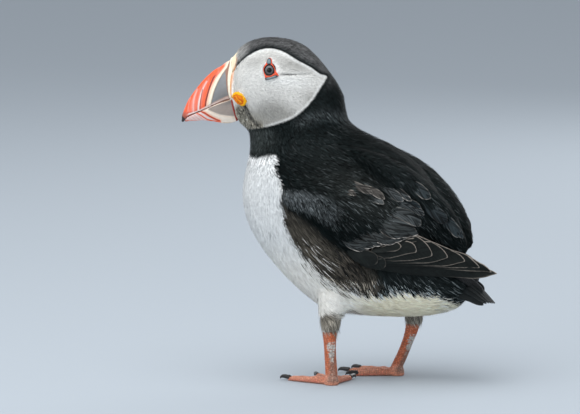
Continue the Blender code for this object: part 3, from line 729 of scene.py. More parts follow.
class Coat:
    """Collects the triangles of many feathers, and makes them pieces of a size that the export takes."""

    def __init__(self, name, slot, finish, nodes, evenness=0.3):
        self.name, self.slot, self.finish, self.nodes = name, slot, finish, nodes
        self.evenness = evenness  # how far each blade is shaded as the body under it
        self.added = []

    def add(self, points, colours, maps, facings, triangles):
        """points, colours, maps and facings are per blade and corner, and the triangles one blade's."""
        self.added.append((points, colours, maps, facings, triangles))

    def finish_pieces(self):
        lots, held, size = [], [], 0
        for *rows, triangles in self.added:
            most = MOST_AT_ONCE // len(triangles)
            for start in range(0, len(rows[0]), most):
                part = [values[start:start + most] for values in rows] + [triangles]
                if held and size + len(part[0]) * len(triangles) > MOST_IN_PIECE:
                    lots.append(held)
                    held, size = [], 0
                held.append(part)
                size += len(part[0]) * len(triangles)
        lots.append(held)
        for number, lot in enumerate(lots):
            name = self.name if len(lots) == 1 else f"{self.name}_{number + 1}"
            self.make_piece(name, lot)

    def make_piece(self, name, lot):
        shift, all_triangles = 0, []
        for points, _, _, _, triangles in lot:
            count, each = points.shape[:2]
            starts = shift + np.arange(count) * each
            all_triangles.append((triangles[None] + starts[:, None, None]).reshape(-1, 3))
            shift += count * each
        vertices, colours, maps, facings = (
            np.concatenate([part[i].reshape(-1, part[i].shape[-1]) for part in lot]) for i in range(4))
        corners = np.concatenate(all_triangles)
        mesh = bpy.data.meshes.new(name)
        mesh.vertices.add(len(vertices))
        mesh.vertices.foreach_set("co", vertices.ravel())
        mesh.loops.add(corners.size)
        mesh.loops.foreach_set("vertex_index", corners.ravel())
        mesh.polygons.add(len(corners))
        mesh.polygons.foreach_set("loop_start", np.arange(len(corners)) * 3)
        mesh.update(calc_edges=True)
        mesh.shade_smooth()
        own = columns(mesh, "normal")
        facings = unit(own * (1 - self.evenness) + facings * self.evenness)
        mesh.normals_split_custom_set_from_vertices(facings.tolist())
        mesh.uv_layers.new(name="OFBake").data.foreach_set("uv", maps[corners.ravel()].ravel())
        store_colours(mesh, "plumage", colours)
        mesh.materials.append(self.finish)
        piece = object_of(mesh)
        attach(piece, "root")
        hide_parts(*self.nodes)


def blunt_tip(along):
    return 1 - 0.35 * along


def thin_tip(along):
    return 0.8 * (1 - 0.8 * along)


def grow(coat, roots, chosen, share, length, width, seed, blades=5, fan=0.35, lift=0.0, outline=blunt_tip,
         turn=0.0, ragged=0.25, colour_at=0.75, tip_colours=None, stir=0.07, streak=0.10, glint=0.0, vary=0.08,
         taper=0.30, strand=STRAND_GREY):
    """Adds feathers of these roots to a coat, each a fan of narrow blades.

    fan spreads the blades, taper and ragged shorten them towards the sides and unevenly, lift raises their
    ends, stir unsettles them, vary and streak change their lightness, and glint lights their paler barbs.
    The colour is that of the markings with their painted light and shade, at colour_at of the length, or at every
    corner where that is None.
    """
    draw = np.random.default_rng(seed)
    count = len(roots)
    places, normals, ways = march(roots, length, 4, turn + draw.normal(0, 0.07, count))
    depth = coat_depth(roots)
    if tip_colours is None and colour_at is not None:
        tip_colours = markings_and_shade(read_rows(places, np.full((count, 1), colour_at))[:, 0])
    own = draw.normal(1.0, vary, (count, 1))
    glints = barb_glint_share(roots)
    map_middle = skin_places_on_map(chosen, share)
    shape, triangles = blade_shape(3, outline)
    blade_width = width / blades * 1.35
    for blade in range(blades):
        side = (blade / (blades - 1) - 0.5) * 2
        reach = 1 - taper * side * side - ragged * draw.random(count)
        along = shape[None, :, 0] * reach[:, None]
        middle = read_rows(places, along)
        normal = unit(read_rows(normals, along))
        way = unit(read_rows(ways, along))
        sideways = np.cross(way, normal)
        spread = (side + draw.normal(0, 0.12, count))[:, None] * (0.25 + along * (1 + fan)) * width[:, None]
        # painted glints: a few blades made lighter, as barbs that catch the light
        bright = glint * glints * draw.random(count) ** 12
        slim = 1 - 0.45 * np.minimum(bright * 3, 1)
        offset = spread + shape[None, :, 1] * (blade_width * slim)[:, None]
        rise = 1 - (1 - along) ** 2.4
        height = -depth[:, None] * (1.12 * (1 - rise)) + lift * MM * along ** 2
        height = height + draw.normal(0, stir * MM, (count, 1)) * (0.4 + along)
        height = height + 0.8 * MM * np.minimum(bright * 2, 1)[:, None] * along
        height = height - relief(middle.reshape(-1, 3)).reshape(height.shape)
        points = middle + sideways * offset[..., None] + normal * height[..., None]
        if colour_at is None:
            colours = markings_and_shade(points.reshape(-1, 3)).reshape(points.shape) * own[:, :, None]
        else:
            colours = np.repeat(tip_colours[:, None, :], len(shape), 1) * own[:, :, None]
        colours = colours * draw.normal(1.0, streak, (count, 1, 1))
        colours = colours + np.array(strand) * bright[:, None, None]
        on_patch = [np.broadcast_to((side * 0.35 + 0.15 * shape[:, 1])[None], along.shape), along - 0.5]
        maps = map_middle[:, None, :] + PATCH * np.stack(on_patch, axis=2)
        coat.add(points, np.clip(colours, 0, 1), maps, np.broadcast_to(normal, points.shape), triangles)


# The plumage's parts, with the spacing and the length of the feathers of each in millimetres.
SPACING_LENGTH = {"face": (0.78, 3.4), "crown": (0.92, 4.0), "neck": (1.05, 6.0), "breast": (1.15, 8.0),
                  "belly": (1.35, 10.5), "flank": (1.15, 12.0), "mantle": (1.4, 10.0), "coverts": (1.1, 6.0),
                  "rear flank": (1.3, 11.0), "rump": (1.5, 11.0), "thigh": (0.9, 7.8)}
EYE_OPENING = (55.0, 189.0)  # the middle of the bare skin round the eye


def part_names(points):
    """Which of the plumage's parts each place belongs to."""
    at = back_up(points)
    back, up = at[:, 0], at[:, 1]
    side = np.abs(points[:, 0]) / MM
    found = np.full(len(points), "mantle", dtype="U10")
    found[(up > 147) | ((up > 138) & (back < 62))] = "neck"
    found[(up > 150) & (back < 96 - (up < 165) * 6) & (up > 205 - back * 0.9)] = "crown"
    found[(up > 183 - (back - 60) * 0.2) & (back < 96)] = "crown"
    found[inside_by(FACE, at) > -0.2] = "face"
    white = inside_by(WHITE_UNDERSIDE, at) > 0
    found[white & (back < 100)] = "breast"
    found[white & (back >= 100)] = "belly"
    found[(inside_by(FLANK, at) > 0) & (side > 10) & ~white] = "flank"
    found[(inside_by(LESSER_COVERTS, at) > 0) & ~white] = "coverts"
    found[(back > 118) & (up < 66) & ~white] = "rear flank"
    found[(back > 150) & (up < 92)] = "rump"
    found[on_thigh(points)] = "thigh"
    return found


def bare(points):
    """Where no feather grows: the eyes and their plates, the bill's root and the corner of the mouth."""
    at = back_up(points)
    eye = np.hypot(*(at - EYE_OPENING).T) < 5.4
    eye |= (np.abs(at[:, 0] - 54.6) < 2.0) & (at[:, 1] > 190) & (at[:, 1] < 196.3)
    eye |= (at[:, 0] > 52) & (at[:, 0] < 61.0) & (at[:, 1] > 182.9) & (at[:, 1] < 187)
    corner = np.hypot(at[:, 0] - 35.0, at[:, 1] - 169.8) < 4.4
    front = at[:, 0] < np.interp(at[:, 1], [150, 156.5, 166, 170, 173, 178, 184, 190, 192, 194],
                                 [31, 34.3, 32.4, 32.5, 31.4, 31.2, 31.7, 33.0, 33.2, 32.6])
    shank = on_thigh(points) & (at[:, 1] < 35.8)
    return eye | corner | front | shank


def spacing_everywhere(points):
    spacing = np.array([SPACING_LENGTH[name][0] for name in part_names(points)]) * MM
    spacing[bare(points)] = np.inf
    return spacing


roots, chosen, share = scatter(spacing_everywhere, 5)
root_part = part_names(roots)
root_at = back_up(roots)
root_back, root_up = root_at.T
feather_finish = plumage_finish("feathers", 0.62)


def grow_part(coat, part, seed, width, **how):
    """The feathers of one of the plumage's parts, this many millimetres wide."""
    pick = root_part == part
    length = SPACING_LENGTH[part][1] * MM * np.random.default_rng(seed).uniform(0.85, 1.12, pick.sum())
    if part == "face":  # shorter round the bill and the eye
        from_eye = np.hypot(*(root_at[pick] - EYE_OPENING).T)
        length *= 0.55 + 0.45 * np.minimum(smoothstep(root_back[pick], 31, 44), smoothstep(from_eye, 4.5, 11))
    grow(coat, roots[pick], chosen[pick], share[pick], length, np.full(pick.sum(), width * MM), seed, **how)


face_coat = Coat("face_feathers", "face_feathers", feather_finish, ["head"], 0.7)
on_chin = smoothstep(inside_by(CHIN, root_at[root_part == "face"]), -0.5, 1.5)[:, None]
grow_part(face_coat, "face", 21, 0.62, ragged=0.35, colour_at=None, stir=0.035,
          streak=(0.08 + 0.40 * on_chin)[..., None], vary=0.035 + 0.38 * on_chin)
face_coat.finish_pieces()

crown_coat = Coat("crown_feathers", "black_feathers", feather_finish, ["head"])
uneven = 0.38 - 0.2 * smoothstep(48 - root_back, 0, 10) + 0.5 * nape_band(root_at)
grow_part(crown_coat, "crown", 22, 0.75, ragged=0.35, colour_at=None,
          streak=uneven[root_part == "crown"][:, None, None], vary=0.16)
crown_coat.finish_pieces()

neck_coat = Coat("neck_feathers", "black_feathers", feather_finish, ["neck"])
mottle = 0.3 + 0.75 * nape_band(root_at[root_part == "neck"])[:, None, None]
grow_part(neck_coat, "neck", 23, 1.0, ragged=0.4, colour_at=None, streak=mottle, glint=1.1, stir=0.1)
neck_coat.finish_pieces()

white_depth = inside_by(WHITE_UNDERSIDE, root_at)
outside = np.sign(roots[:, 0])


def grow_picked(coat, pick, seed, length, width, colours, turn=0.0, **how):
    """More feathers among the others, of these millimetres, in colours drawn from a list of (share, colour)."""
    draw = np.random.default_rng(seed)
    lengths = length * MM * draw.uniform(0.75, 1.15, pick.sum())
    turns = outside[pick] * (turn + draw.normal(0, 0.14, pick.sum()))
    pool = np.array([colour for _, colour in colours])
    drawn = pool[draw.choice(len(pool), pick.sum(), p=[part for part, _ in colours])]
    grow(coat, roots[pick], chosen[pick], share[pick], lengths, np.full(pick.sum(), width * MM), seed,
         turn=turns, tip_colours=drawn, **how)


BREAST_EDGE_GREY = (0.50, 0.51, 0.51)
PLUME_WHITE, PLUME_BROWN, PLUME_BLACK = (0.72, 0.71, 0.68), (0.17, 0.15, 0.12), (0.045, 0.042, 0.036)
FRONT_BLACK, FRONT_BROWN = (0.022, 0.021, 0.019), (0.075, 0.066, 0.054)
HEM_BROWN, HEM_CREAM = (0.19, 0.17, 0.14), (0.56, 0.52, 0.45)
TROUSER_BROWN, TROUSER_CREAM = (0.30, 0.26, 0.21), (0.62, 0.58, 0.50)

breast_coat = Coat("breast_feathers", "trunk_feathers", feather_finish, ["trunk"], 0.75)
grow_part(breast_coat, "breast", 24, 1.5, blades=6, ragged=0.4, colour_at=0.35, stir=0.03, streak=0.05, vary=0.03)
grow_part(breast_coat, "belly", 25, 1.8, blades=6, ragged=0.45, colour_at=0.35, stir=0.05, streak=0.06, vary=0.04)
breast_edge = (white_depth > 0.2) & (white_depth < 3.0) & (root_back < 76) & (root_up > 80) & (root_up < 134)
breast_edge &= np.random.default_rng(40).random(len(roots)) < 0.8
grow_picked(breast_coat, breast_edge, 41, 5.5, 1.0, [(0.6, BREAST_WHITE), (0.4, BREAST_EDGE_GREY)], turn=0.75,
            blades=4, fan=-0.3, taper=0.35, lift=0.4, stir=0.12, outline=thin_tip)
breast_coat.finish_pieces()

flank_coat = Coat("flank_feathers", "trunk_feathers", feather_finish, ["trunk"])
grow_part(flank_coat, "flank", 26, 1.5, blades=6, ragged=0.5, colour_at=0.35, streak=0.35, stir=0.13, vary=0.2,
          glint=3.5, strand=STRAND_BROWN)
grow_part(flank_coat, "rear flank", 27, 1.6, blades=6, ragged=0.5, colour_at=0.3, streak=0.3, stir=0.13, glint=2.2)
plumes = (white_depth > -10) & (white_depth < 4) & (root_back > 70) & (root_back < 106)
plumes &= (root_up > 58) & (root_up < 92)
plumes &= np.random.default_rng(42).random(len(roots)) < 0.85 - 0.04 * np.maximum(-white_depth, 0)
grow_picked(flank_coat, plumes, 43, 15.0, 1.0, [(0.40, PLUME_WHITE), (0.32, PLUME_BROWN), (0.28, PLUME_BLACK)],
            turn=0.04, blades=3, fan=0.1, taper=0.5, lift=1.0, stir=0.2, outline=thin_tip)
wing_front = (root_part == "flank") & (root_back > 95) & (root_back < 109) & (root_up > 68) & (root_up < 90)
grow_picked(flank_coat, wing_front, 45, 10.0, 1.4, [(0.5, FRONT_BLACK), (0.5, FRONT_BROWN)],
            turn=0.1, blades=5, fan=-0.4, lift=3.4, stir=0.3, streak=0.3)
belly_edge = (white_depth > -4.5) & (white_depth < 0.5) & (root_back > 102) & (root_back < 166) & (root_up < 72)
clumps = 6.2 + 3.2 * np.sin(root_back[belly_edge] * 0.95) + 1.6 * np.sin(root_back[belly_edge] * 2.3 + 1)
grow_picked(flank_coat, belly_edge, 44, np.maximum(clumps, 1.5), 1.1, [(1.0, BLACK)], turn=-0.15, blades=4, fan=-0.5,
            taper=0.5, lift=0.4, stir=0.15, glint=1.6)
flank_coat.finish_pieces()

mantle_coat = Coat("mantle_feathers", "black_feathers", feather_finish, ["trunk", "scapulars_left", "scapulars_right"])
grow_part(mantle_coat, "mantle", 28, 1.7, ragged=0.4, streak=0.3, glint=0.8, stir=0.12)
grow_part(mantle_coat, "rump", 30, 1.8, ragged=0.4, streak=0.3, glint=0.7, stir=0.12)
mantle_coat.finish_pieces()

covert_coat = Coat("lesser_coverts", "black_feathers", feather_finish, ["wing_left", "wing_right"])
grow_part(covert_coat, "coverts", 29, 1.2, ragged=0.5, lift=0.5, streak=0.55, glint=1.0, stir=0.2, vary=0.3)
covert_coat.finish_pieces()

thigh_coat = Coat("thigh_feathers", "thigh_feathers", feather_finish, ["thigh_left", "thigh_right"])
grow_part(thigh_coat, "thigh", 31, 1.0, blades=6, ragged=0.75, lift=0.9, streak=0.4, stir=0.3, vary=0.3, fan=-0.3,
          outline=thin_tip)
hem = (root_part == "thigh") & (root_up < 38.6)
grow_picked(thigh_coat, hem, 47, 9.5, 0.8, [(0.5, THIGH_GREY), (0.3, HEM_BROWN), (0.2, HEM_CREAM)],
            blades=3, fan=0.1, taper=0.5, ragged=0.5, lift=2.3, stir=0.3, outline=thin_tip)
trouser = (root_part == "belly") & (root_back > 98) & (root_back < 107) & (root_up < 43) & (roots[:, 0] > 6 * MM)
grow_picked(thigh_coat, trouser, 46, 8.0, 1.0, [(0.5, TROUSER_BROWN), (0.5, TROUSER_CREAM)], turn=-0.45,
            blades=4, fan=0.2, lift=1.0, stir=0.3, outline=thin_tip)
thigh_coat.finish_pieces()


# ----------------------------------------------------------------
# Bill. Two jaws of horn, deep and narrow, with plates of blue-grey, cream and orange-red that meet in
# curved grooves. The cream strap along the face is a separate raised plate.

CORAL = (0.84, 0.130, 0.056)
PINK_CORAL = (0.84, 0.235, 0.165)
DEEP_ORANGE = (0.88, 0.105, 0.018)
DARK_RED = (0.16, 0.014, 0.012)
MAROON = (0.26, 0.05, 0.045)
PALE_GROOVE = (0.86, 0.76, 0.73)
CREAM = (0.90, 0.83, 0.67)
PEACH = (0.93, 0.60, 0.44)
TAN = (0.55, 0.36, 0.20)
PLATE_GREY = (0.222, 0.228, 0.242)
PLATE_SHADE = (0.135, 0.13, 0.125)
LIP_PINK = (0.72, 0.55, 0.49)
LIP_BROWN = (0.20, 0.11, 0.08)
MAUVE = (0.37, 0.305, 0.265)
TIP_SHADE = (0.015, 0.012, 0.012)
ROOT_PEACH = (0.92, 0.72, 0.55)
HOOK_SHADE = (0.22, 0.075, 0.045)
JAW_CREAM = (0.96, 0.83, 0.70)
JAW_RED = (0.34, 0.022, 0.008)
STRAP_ORANGE = (0.88, 0.36, 0.09)
STRAP_GREY = (0.62, 0.57, 0.50)

# Lines on the side of the bill, as (behind the tip, above the floor) in millimetres.
STRAP_FRONT = [(30.3, 193), (30.1, 190.9), (29.9, 188), (29, 184.6), (28.6, 181.5), (28.8, 177.8), (29.4, 174.1),
               (29.9, 171.4), (30.2, 169.6)]
STRAP_REAR = [(33.6, 192.6), (33.3, 190.9), (32.5, 187.4), (31.5, 184), (31.1, 181.5), (31, 178.1), (31, 175.2),
              (31.3, 172.6), (31.8, 170)]
PLATE_FRONT = [(28.6, 189.6), (27.9, 188.5), (26.6, 186.8), (24.7, 184.1), (23.4, 181.7), (22.1, 179.1),
               (21.1, 176.7), (20, 173.7), (19.4, 171.3), (18.7, 168.6), (18.3, 166)]
CREAM_FRONT = [(28.0, 191.5), (26.4, 189.2), (24.8, 187), (23, 184.7), (21.1, 182.4), (19.8, 180), (18.5, 177.4),
               (17.6, 175.2), (16.8, 172.5), (16.2, 169.9), (15.6, 167.2), (15.2, 164)]
GROOVE_1 = [(21.6, 185.2), (20.7, 184), (19.3, 181.8), (18.2, 178.9), (17.3, 176.3), (16.4, 173.1), (15.7, 170.4),
            (15.2, 168.2), (14.9, 165)]
GROOVE_2 = [(15.4, 180), (14.2, 178), (13.2, 175.8), (12.2, 173.4), (11.5, 170.8), (10.9, 168.1), (10.5, 164.9),
            (10.4, 162)]
GROOVE_2_SHADE = [(12.9, 175), (12.4, 172.9), (12.1, 170.3), (11.8, 167.6), (11.7, 164.9), (11.8, 162.5)]
GROOVE_3 = [(9.5, 175.1), (8.6, 173), (7.8, 170.6), (7.4, 168.2), (7.2, 165.6), (7.3, 161.5)]
GROOVE_4 = [(5.4, 170), (4.6, 167.5), (4.0, 164.5), (3.8, 162)]
CULMEN_LINE = [(26, 189.9), (23.6, 187.7), (20.9, 185.9), (18.1, 184.1), (15.4, 181.9), (12.9, 179.3), (9.9, 175.6),
               (6.9, 171.4), (4.2, 166.6), (2.3, 161.5)]
CUTTING_EDGE = [(1.2, 157.5), (2.7, 159.1), (4.7, 160.2), (6.6, 160.8), (9.5, 161.7), (11.2, 162.4), (12.6, 163.1),
                (13.7, 163.9), (14.8, 164.6), (18.7, 166.7), (22.9, 168.9), (27, 170.9), (31, 172.4)]
LOWER_PLATE = curve_through([(16.7, 163.4), (19.5, 164.9), (22.8, 166.3), (27, 168), (32, 169.6), (32.6, 167.2),
                             (33.4, 163.5), (34.2, 158.6), (29.8, 158.7), (25.3, 159.2), (22.6, 159.8),
                             (19.4, 161.1), (17.4, 162.3)], 4, closed=True)
LOWER_RED = [(11.6, 162.2), (12.9, 161.6), (14.7, 160.8), (16.8, 159.3), (18.9, 158.1), (21, 157.1), (23.2, 156.2)]
LOWER_WHITE = [(10.4, 161.6), (11.8, 160.9), (13.5, 159.9), (15.1, 158.7), (16.7, 157.6), (18.6, 156.8)]
LOWER_ORANGE = [(9.3, 160.9), (10.6, 160.3), (12.1, 159.3), (13.9, 158), (15.5, 157), (18.2, 156.2), (22, 155.7)]


def behind(line, at):
    """How far behind a line that runs from high to low each place lies, below 0 in front of it."""
    line = np.array(line)[::-1]
    return at[:, 0] - np.interp(at[:, 1], line[:, 1], line[:, 0])


def height_of(line, back):
    """How high a line that runs from front to rear is at these distances behind the bill's tip."""
    return np.interp(back, *np.array(line).T)


def stroke(line, at, half, soft=0.22):
    """1 along a line of this half width, fading to 0 at its sides."""
    return smoothstep(half + soft - line_distance(line, at), 0, 2 * soft)


def groove(line, at, depth, half):
    """How deep a groove of this depth and half width along a line is cut at each place."""
    return depth * np.exp(-((line_distance(line, at) / half) ** 2))


def horn_colours_upper(at):
    """The upper jaw's plates and grooves, from its tip back, then its ridge, root, lip and hook."""
    back, up = at[:, 0], at[:, 1]
    paint = Paint(CORAL, len(at))
    streaks = 0.5 + 0.5 * np.sin(back * 3.1 + np.sin(up * 0.35) * 1.5)
    paint.over(PINK_CORAL, 0.15 + 0.45 * streaks)
    paint.over(DEEP_ORANGE, stroke(CULMEN_LINE, at, 0.55, 0.5) * 0.85)
    low = smoothstep(182 - up, 0, 14)
    band = smoothstep(behind(GROOVE_2, at), 1.0, 2.6) * smoothstep(-behind(GROOVE_1, at), -0.2, 0.6)
    paint.over(DEEP_ORANGE, band * 0.55)
    paint.over(PALE_GROOVE, stroke(GROOVE_4, at, 0.2, 0.4) * 0.25)
    paint.over(PALE_GROOVE, stroke(GROOVE_3, at, 0.45, 0.6) * (0.2 + 0.35 * low))
    paint.over(PALE_GROOVE, stroke(GROOVE_2, at, 0.48, 0.30) * (0.45 + 0.5 * low))
    paint.over(MAROON, stroke(GROOVE_2_SHADE, at, 0.28, 0.25) * 0.9)
    ahead = -behind(GROOVE_1, at)
    paint.over(DEEP_ORANGE, smoothstep(ahead, 0.2, 0.6) * smoothstep(2.0 - ahead, 0, 0.7) * 0.75)
    cream = smoothstep(behind(CREAM_FRONT, at), -0.25, 0.25)
    paint.over(PEACH, cream)
    width = np.maximum(behind(CREAM_FRONT, at) - behind(PLATE_FRONT, at), 0.3)
    paint.over(CREAM, cream * smoothstep(behind(CREAM_FRONT, at) / width, 0.25, 0.65))
    # painted shadow in the first groove
    paint.over(DARK_RED, stroke(GROOVE_1, at, 0.40, 0.26) * smoothstep(185.4 - up, 0, 3))
    plate = smoothstep(behind(PLATE_FRONT, at), -0.18, 0.18)
    paint.over(PLATE_GREY, plate)
    # painted shade: the plate darker low at its rear near the gape and against the raised strap
    deep = around(at, 27, 171, 8, 6, -20) + 0.8 * smoothstep(1.6 + behind(STRAP_FRONT, at), 0, 1.8)
    paint.over(PLATE_SHADE, plate * np.clip(deep, 0, 1) * 0.8)
    paint.over(TAN, stroke(PLATE_FRONT, at, 0.14, 0.2) * 0.8)
    root = smoothstep(back, 24.5, 28.5) * smoothstep(up, 188.3, 190.6)
    paint.over(ROOT_PEACH, root * 0.9)
    lip = smoothstep(height_of(CUTTING_EDGE, back) - up, -0.5, 0.0) * smoothstep(back, 12, 15)
    paint.over(LIP_PINK, lip)
    paint.over(LIP_BROWN, lip * smoothstep(back, 17, 27) * 0.5)
    paint.over(LIP_BROWN, stroke(CUTTING_EDGE, at, 0.20, 0.3) * smoothstep(back, 14, 20) * 0.8)
    # painted shade along the lower front edge of the upper jaw
    paint.over(DARK_RED, smoothstep(162.2 - up, 0, 1.6) * smoothstep(9 - back, 0, 3) * 0.3)
    pale = smoothstep(back, 2.5, 5) * smoothstep(15 - back, 0, 3)
    paint.over(PALE_GROOVE, stroke(CUTTING_EDGE, at, 0.35, 0.3) * pale)
    # painted shade under the hook, near black at its tip
    paint.over(HOOK_SHADE, smoothstep(162.4 - up + (1.5 - back) * 0.8, 0, 4.5) * 0.7)
    return paint.over(TIP_SHADE, smoothstep(158.6 - up + (1.2 - back) * 0.8, 0, 1.3))


def horn_colours_lower(at):
    """The lower jaw's stripes, plate and upper rim, then its root and tip."""
    back, up = at[:, 0], at[:, 1]
    paint = Paint(PALE_GROOVE, len(at))
    streaks = 0.5 + 0.5 * np.sin((back + up) * 2.6)
    paint.over(PINK_CORAL, 0.15 + 0.35 * streaks)
    behind_red = smoothstep(up - height_of(LOWER_RED, back), -0.2, 0.5) * smoothstep(back, 11.5, 13)
    paint.over(JAW_CREAM, np.clip(behind_red + smoothstep(back, 21, 24), 0, 1))
    paint.over(PEACH, stroke(LOWER_RED, at, 1.5, 0.5) * smoothstep(behind_red, 0.2, 0.8) * 0.8)
    paint.over(DEEP_ORANGE, stroke(LOWER_RED, at, 0.62, 0.3))
    paint.over(DARK_RED, stroke(LOWER_RED, at, 0.22, 0.3) * 0.75)
    paint.over(PALE_GROOVE, stroke(LOWER_WHITE, at, 0.34, 0.2))
    paint.over(DEEP_ORANGE, stroke(LOWER_ORANGE, at, 0.36, 0.24))
    paint.over(DEEP_ORANGE, smoothstep(156.5 - up, 0, 0.5) * smoothstep(25 - back, 0, 2) * 0.85)
    paint.over(TAN, smoothstep(155.7 - up, 0, 0.6) * smoothstep(back, 24, 26) * 0.5)
    depth = inside_by(LOWER_PLATE, at)
    paint.over(MAUVE, smoothstep(depth, -0.3, 0.3 + 1.1 * smoothstep(164 - up, 0, 3)))
    # painted shade on the lower plate under the upper jaw, near the gape
    paint.over(PLATE_SHADE, smoothstep(depth, 0, 1) * np.clip(around(at, 30.5, 168.5, 7, 2.2, -20), 0, 1) * 0.75)
    paint.over(TAN, smoothstep(0.35 - np.abs(depth), 0, 0.3) * 0.3)
    top = height_of(CUTTING_EDGE, back) - 1.7
    paint.over(LIP_PINK, smoothstep(up - top, -0.4, 0.2) * smoothstep(back, 12, 15))
    past = back - np.interp(up, [156, 168], [34.2, 31.7])
    paint.over(JAW_RED, smoothstep(past, -1.15, -0.75))
    # painted shade at the lower jaw's tip, under the hook
    return paint.over(TIP_SHADE, smoothstep(3.2 - back, 0, 1.5) * 0.5)


# Horn: its coloured plates, with fine growth lines in its gloss and surface.
horn_finish = Finish("bill_horn")
fine = horn_finish.noise(2600.0, 2.0)
broad = horn_finish.noise(420.0, 3.0)
horn = horn_finish.set(
    Base_Color=horn_finish.scaled(horn_finish.attribute("plates", "Color"), 0.88 + broad * 0.24),
    Roughness=0.32 + fine * 0.16, Specular_IOR_Level=0.45,
    Normal=horn_finish.bump(fine + broad * 0.5, 0.25, 0.00012), Coat_Weight=0.15, Coat_Roughness=0.25)


def carved_copy(name, nodes, grid, swell, finish, smoothing=6):
    """A copy of CAD nodes as one even mesh of this finish, a little swollen, ready to be carved."""
    piece = joined_copy(name, nodes)
    apply_modifiers(
        piece,
        ("DISPLACE", {"strength": swell, "mid_level": 0.0}),
        ("REMESH", {"mode": "VOXEL", "voxel_size": grid}),
        ("SMOOTH", {"factor": 0.5, "iterations": smoothing}),
    )
    piece.data.shade_smooth()
    piece.data.materials.append(finish)
    return piece


def push(mesh, amount):
    """Moves every vertex along its normal by this many metres."""
    place_vertices(mesh, columns(mesh) + columns(mesh, "normal") * amount[:, None])


upper_bill = carved_copy("upper_bill", ["bill_upper"], 0.28 * MM, 0.36 * MM, horn)
places = columns(upper_bill.data)
at = back_up(places)
places[:, 1] += (1.2 + 2.1 * smoothstep(at[:, 1], 183, 188)) * smoothstep(at[:, 0], 25.5, 30) * MM  # under the strap
places[:, 2] += 1.5 * MM * smoothstep(at[:, 0], 24, 31) * smoothstep(at[:, 1], 184, 191)
places[:, 2] -= 0.8 * MM * np.exp(-(((at[:, 0] - 24.5) / 3.2) ** 2)) * smoothstep(at[:, 1], 182, 187)
hook = np.interp(at[:, 1], [156.5, 159, 163, 170, 175, 179], [0.2, 0.9, 1.0, 0.9, 0.5, 0.0])
places[:, 1] -= 1.0 * MM * hook * smoothstep(11 - at[:, 0], 0, 7)  # and a fuller front above the hook
place_vertices(upper_bill.data, places)
at = back_up(places)
flat_side = smoothstep(np.abs(columns(upper_bill.data)[:, 0]) / MM, 0.6, 1.8)
cut = groove(GROOVE_2, at, 0.34, 0.55) + groove(GROOVE_1, at, 0.26, 0.5)
cut += groove(GROOVE_3, at, 0.22, 0.55) + groove(GROOVE_4, at, 0.12, 0.6)
rim_ahead = np.exp(-((line_distance(PLATE_FRONT, at) - 0.9) / 0.7) ** 2)
cut -= 0.16 * rim_ahead * (behind(PLATE_FRONT, at) < 0)
cut += 0.30 * smoothstep(behind(PLATE_FRONT, at), 0, 0.5)
push(upper_bill.data, -cut * flat_side * MM)
store_colours(upper_bill.data, "plates", horn_colours_upper(at))

lower_bill = carved_copy("lower_bill", ["bill_lower"], 0.28 * MM, 0.36 * MM, horn)
places = columns(lower_bill.data)
places[:, 1] += 1.5 * MM * smoothstep(back_up(places)[:, 0], 24, 30)  # the jaw runs on into the chin's feathers
back, up = back_up(places).T
reach = 2.4 * smoothstep(12 - back, 0, 8)  # and its tip reaches further under the hook
places[:, 1] -= reach * MM
places[:, 2] += (height_of(CUTTING_EDGE, back - reach) - height_of(CUTTING_EDGE, back)) * MM
low = smoothstep(height_of(CUTTING_EDGE, back) - up, 0.5, 4)
places[:, 2] += np.interp(back, [9, 13, 20, 22.5, 26], [0, 0.6, 0.8, 0.5, 0]) * low * MM
place_vertices(lower_bill.data, places)
at = back_up(places)
cut = groove(LOWER_WHITE, at, 0.22, 0.5) + 0.24 * smoothstep(inside_by(LOWER_PLATE, at), -0.2, 0.5)
push(lower_bill.data, -cut * MM)
store_colours(lower_bill.data, "plates", horn_colours_lower(at))

for piece, node in ((upper_bill, "bill_upper"), (lower_bill, "bill_lower")):
    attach(piece, "root")
    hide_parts(node)

bill_strap = carved_copy("bill_strap", ["bill_base_band"], 0.25 * MM, 0.22 * MM, horn)
places = columns(bill_strap.data)
at = back_up(places)
places[:, 1] -= 0.22 * behind(STRAP_REAR, at) * MM * (behind(STRAP_REAR, at) < 0)  # a little narrower than its form
raised = smoothstep(at[:, 1], 188.5, 192.5) * smoothstep(6.5 - np.abs(places[:, 0]) / MM, 0, 4) * MM
places[:, 1] -= 0.6 * raised
places[:, 2] += 0.3 * raised
place_vertices(bill_strap.data, places)
from_rear = behind(STRAP_REAR, at)
paint = Paint(CREAM, len(at))
paint.over(STRAP_ORANGE, smoothstep(from_rear, -1.0, -0.55) * 0.85)
paint.over(STRAP_GREY, smoothstep(at[:, 1], 190.5, 193.5) * smoothstep(from_rear, -3.0, -1.0))
paint.over(TAN, smoothstep(-behind(STRAP_FRONT, at), -0.3, 0.3) * 0.12)
store_colours(bill_strap.data, "plates", paint.colours)
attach(bill_strap, "root")
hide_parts("bill_base_band")


# ----------------------------------------------------------------
# Gape rosettes. At each corner of the mouth sits an oval pad of bare yellow skin, folded in rings.

ROSETTE_MIDDLE = (35.3, 169.7)
ROSETTE_TILT = math.radians(47)
ROSETTE_LONG, ROSETTE_WIDE = 5.1, 3.9
ROSETTE_YELLOW = (0.88, 0.42, 0.004)
ROSETTE_ORANGE = (0.80, 0.22, 0.003)
ROSETTE_FOLD_SHADE = (0.55, 0.09, 0.01)

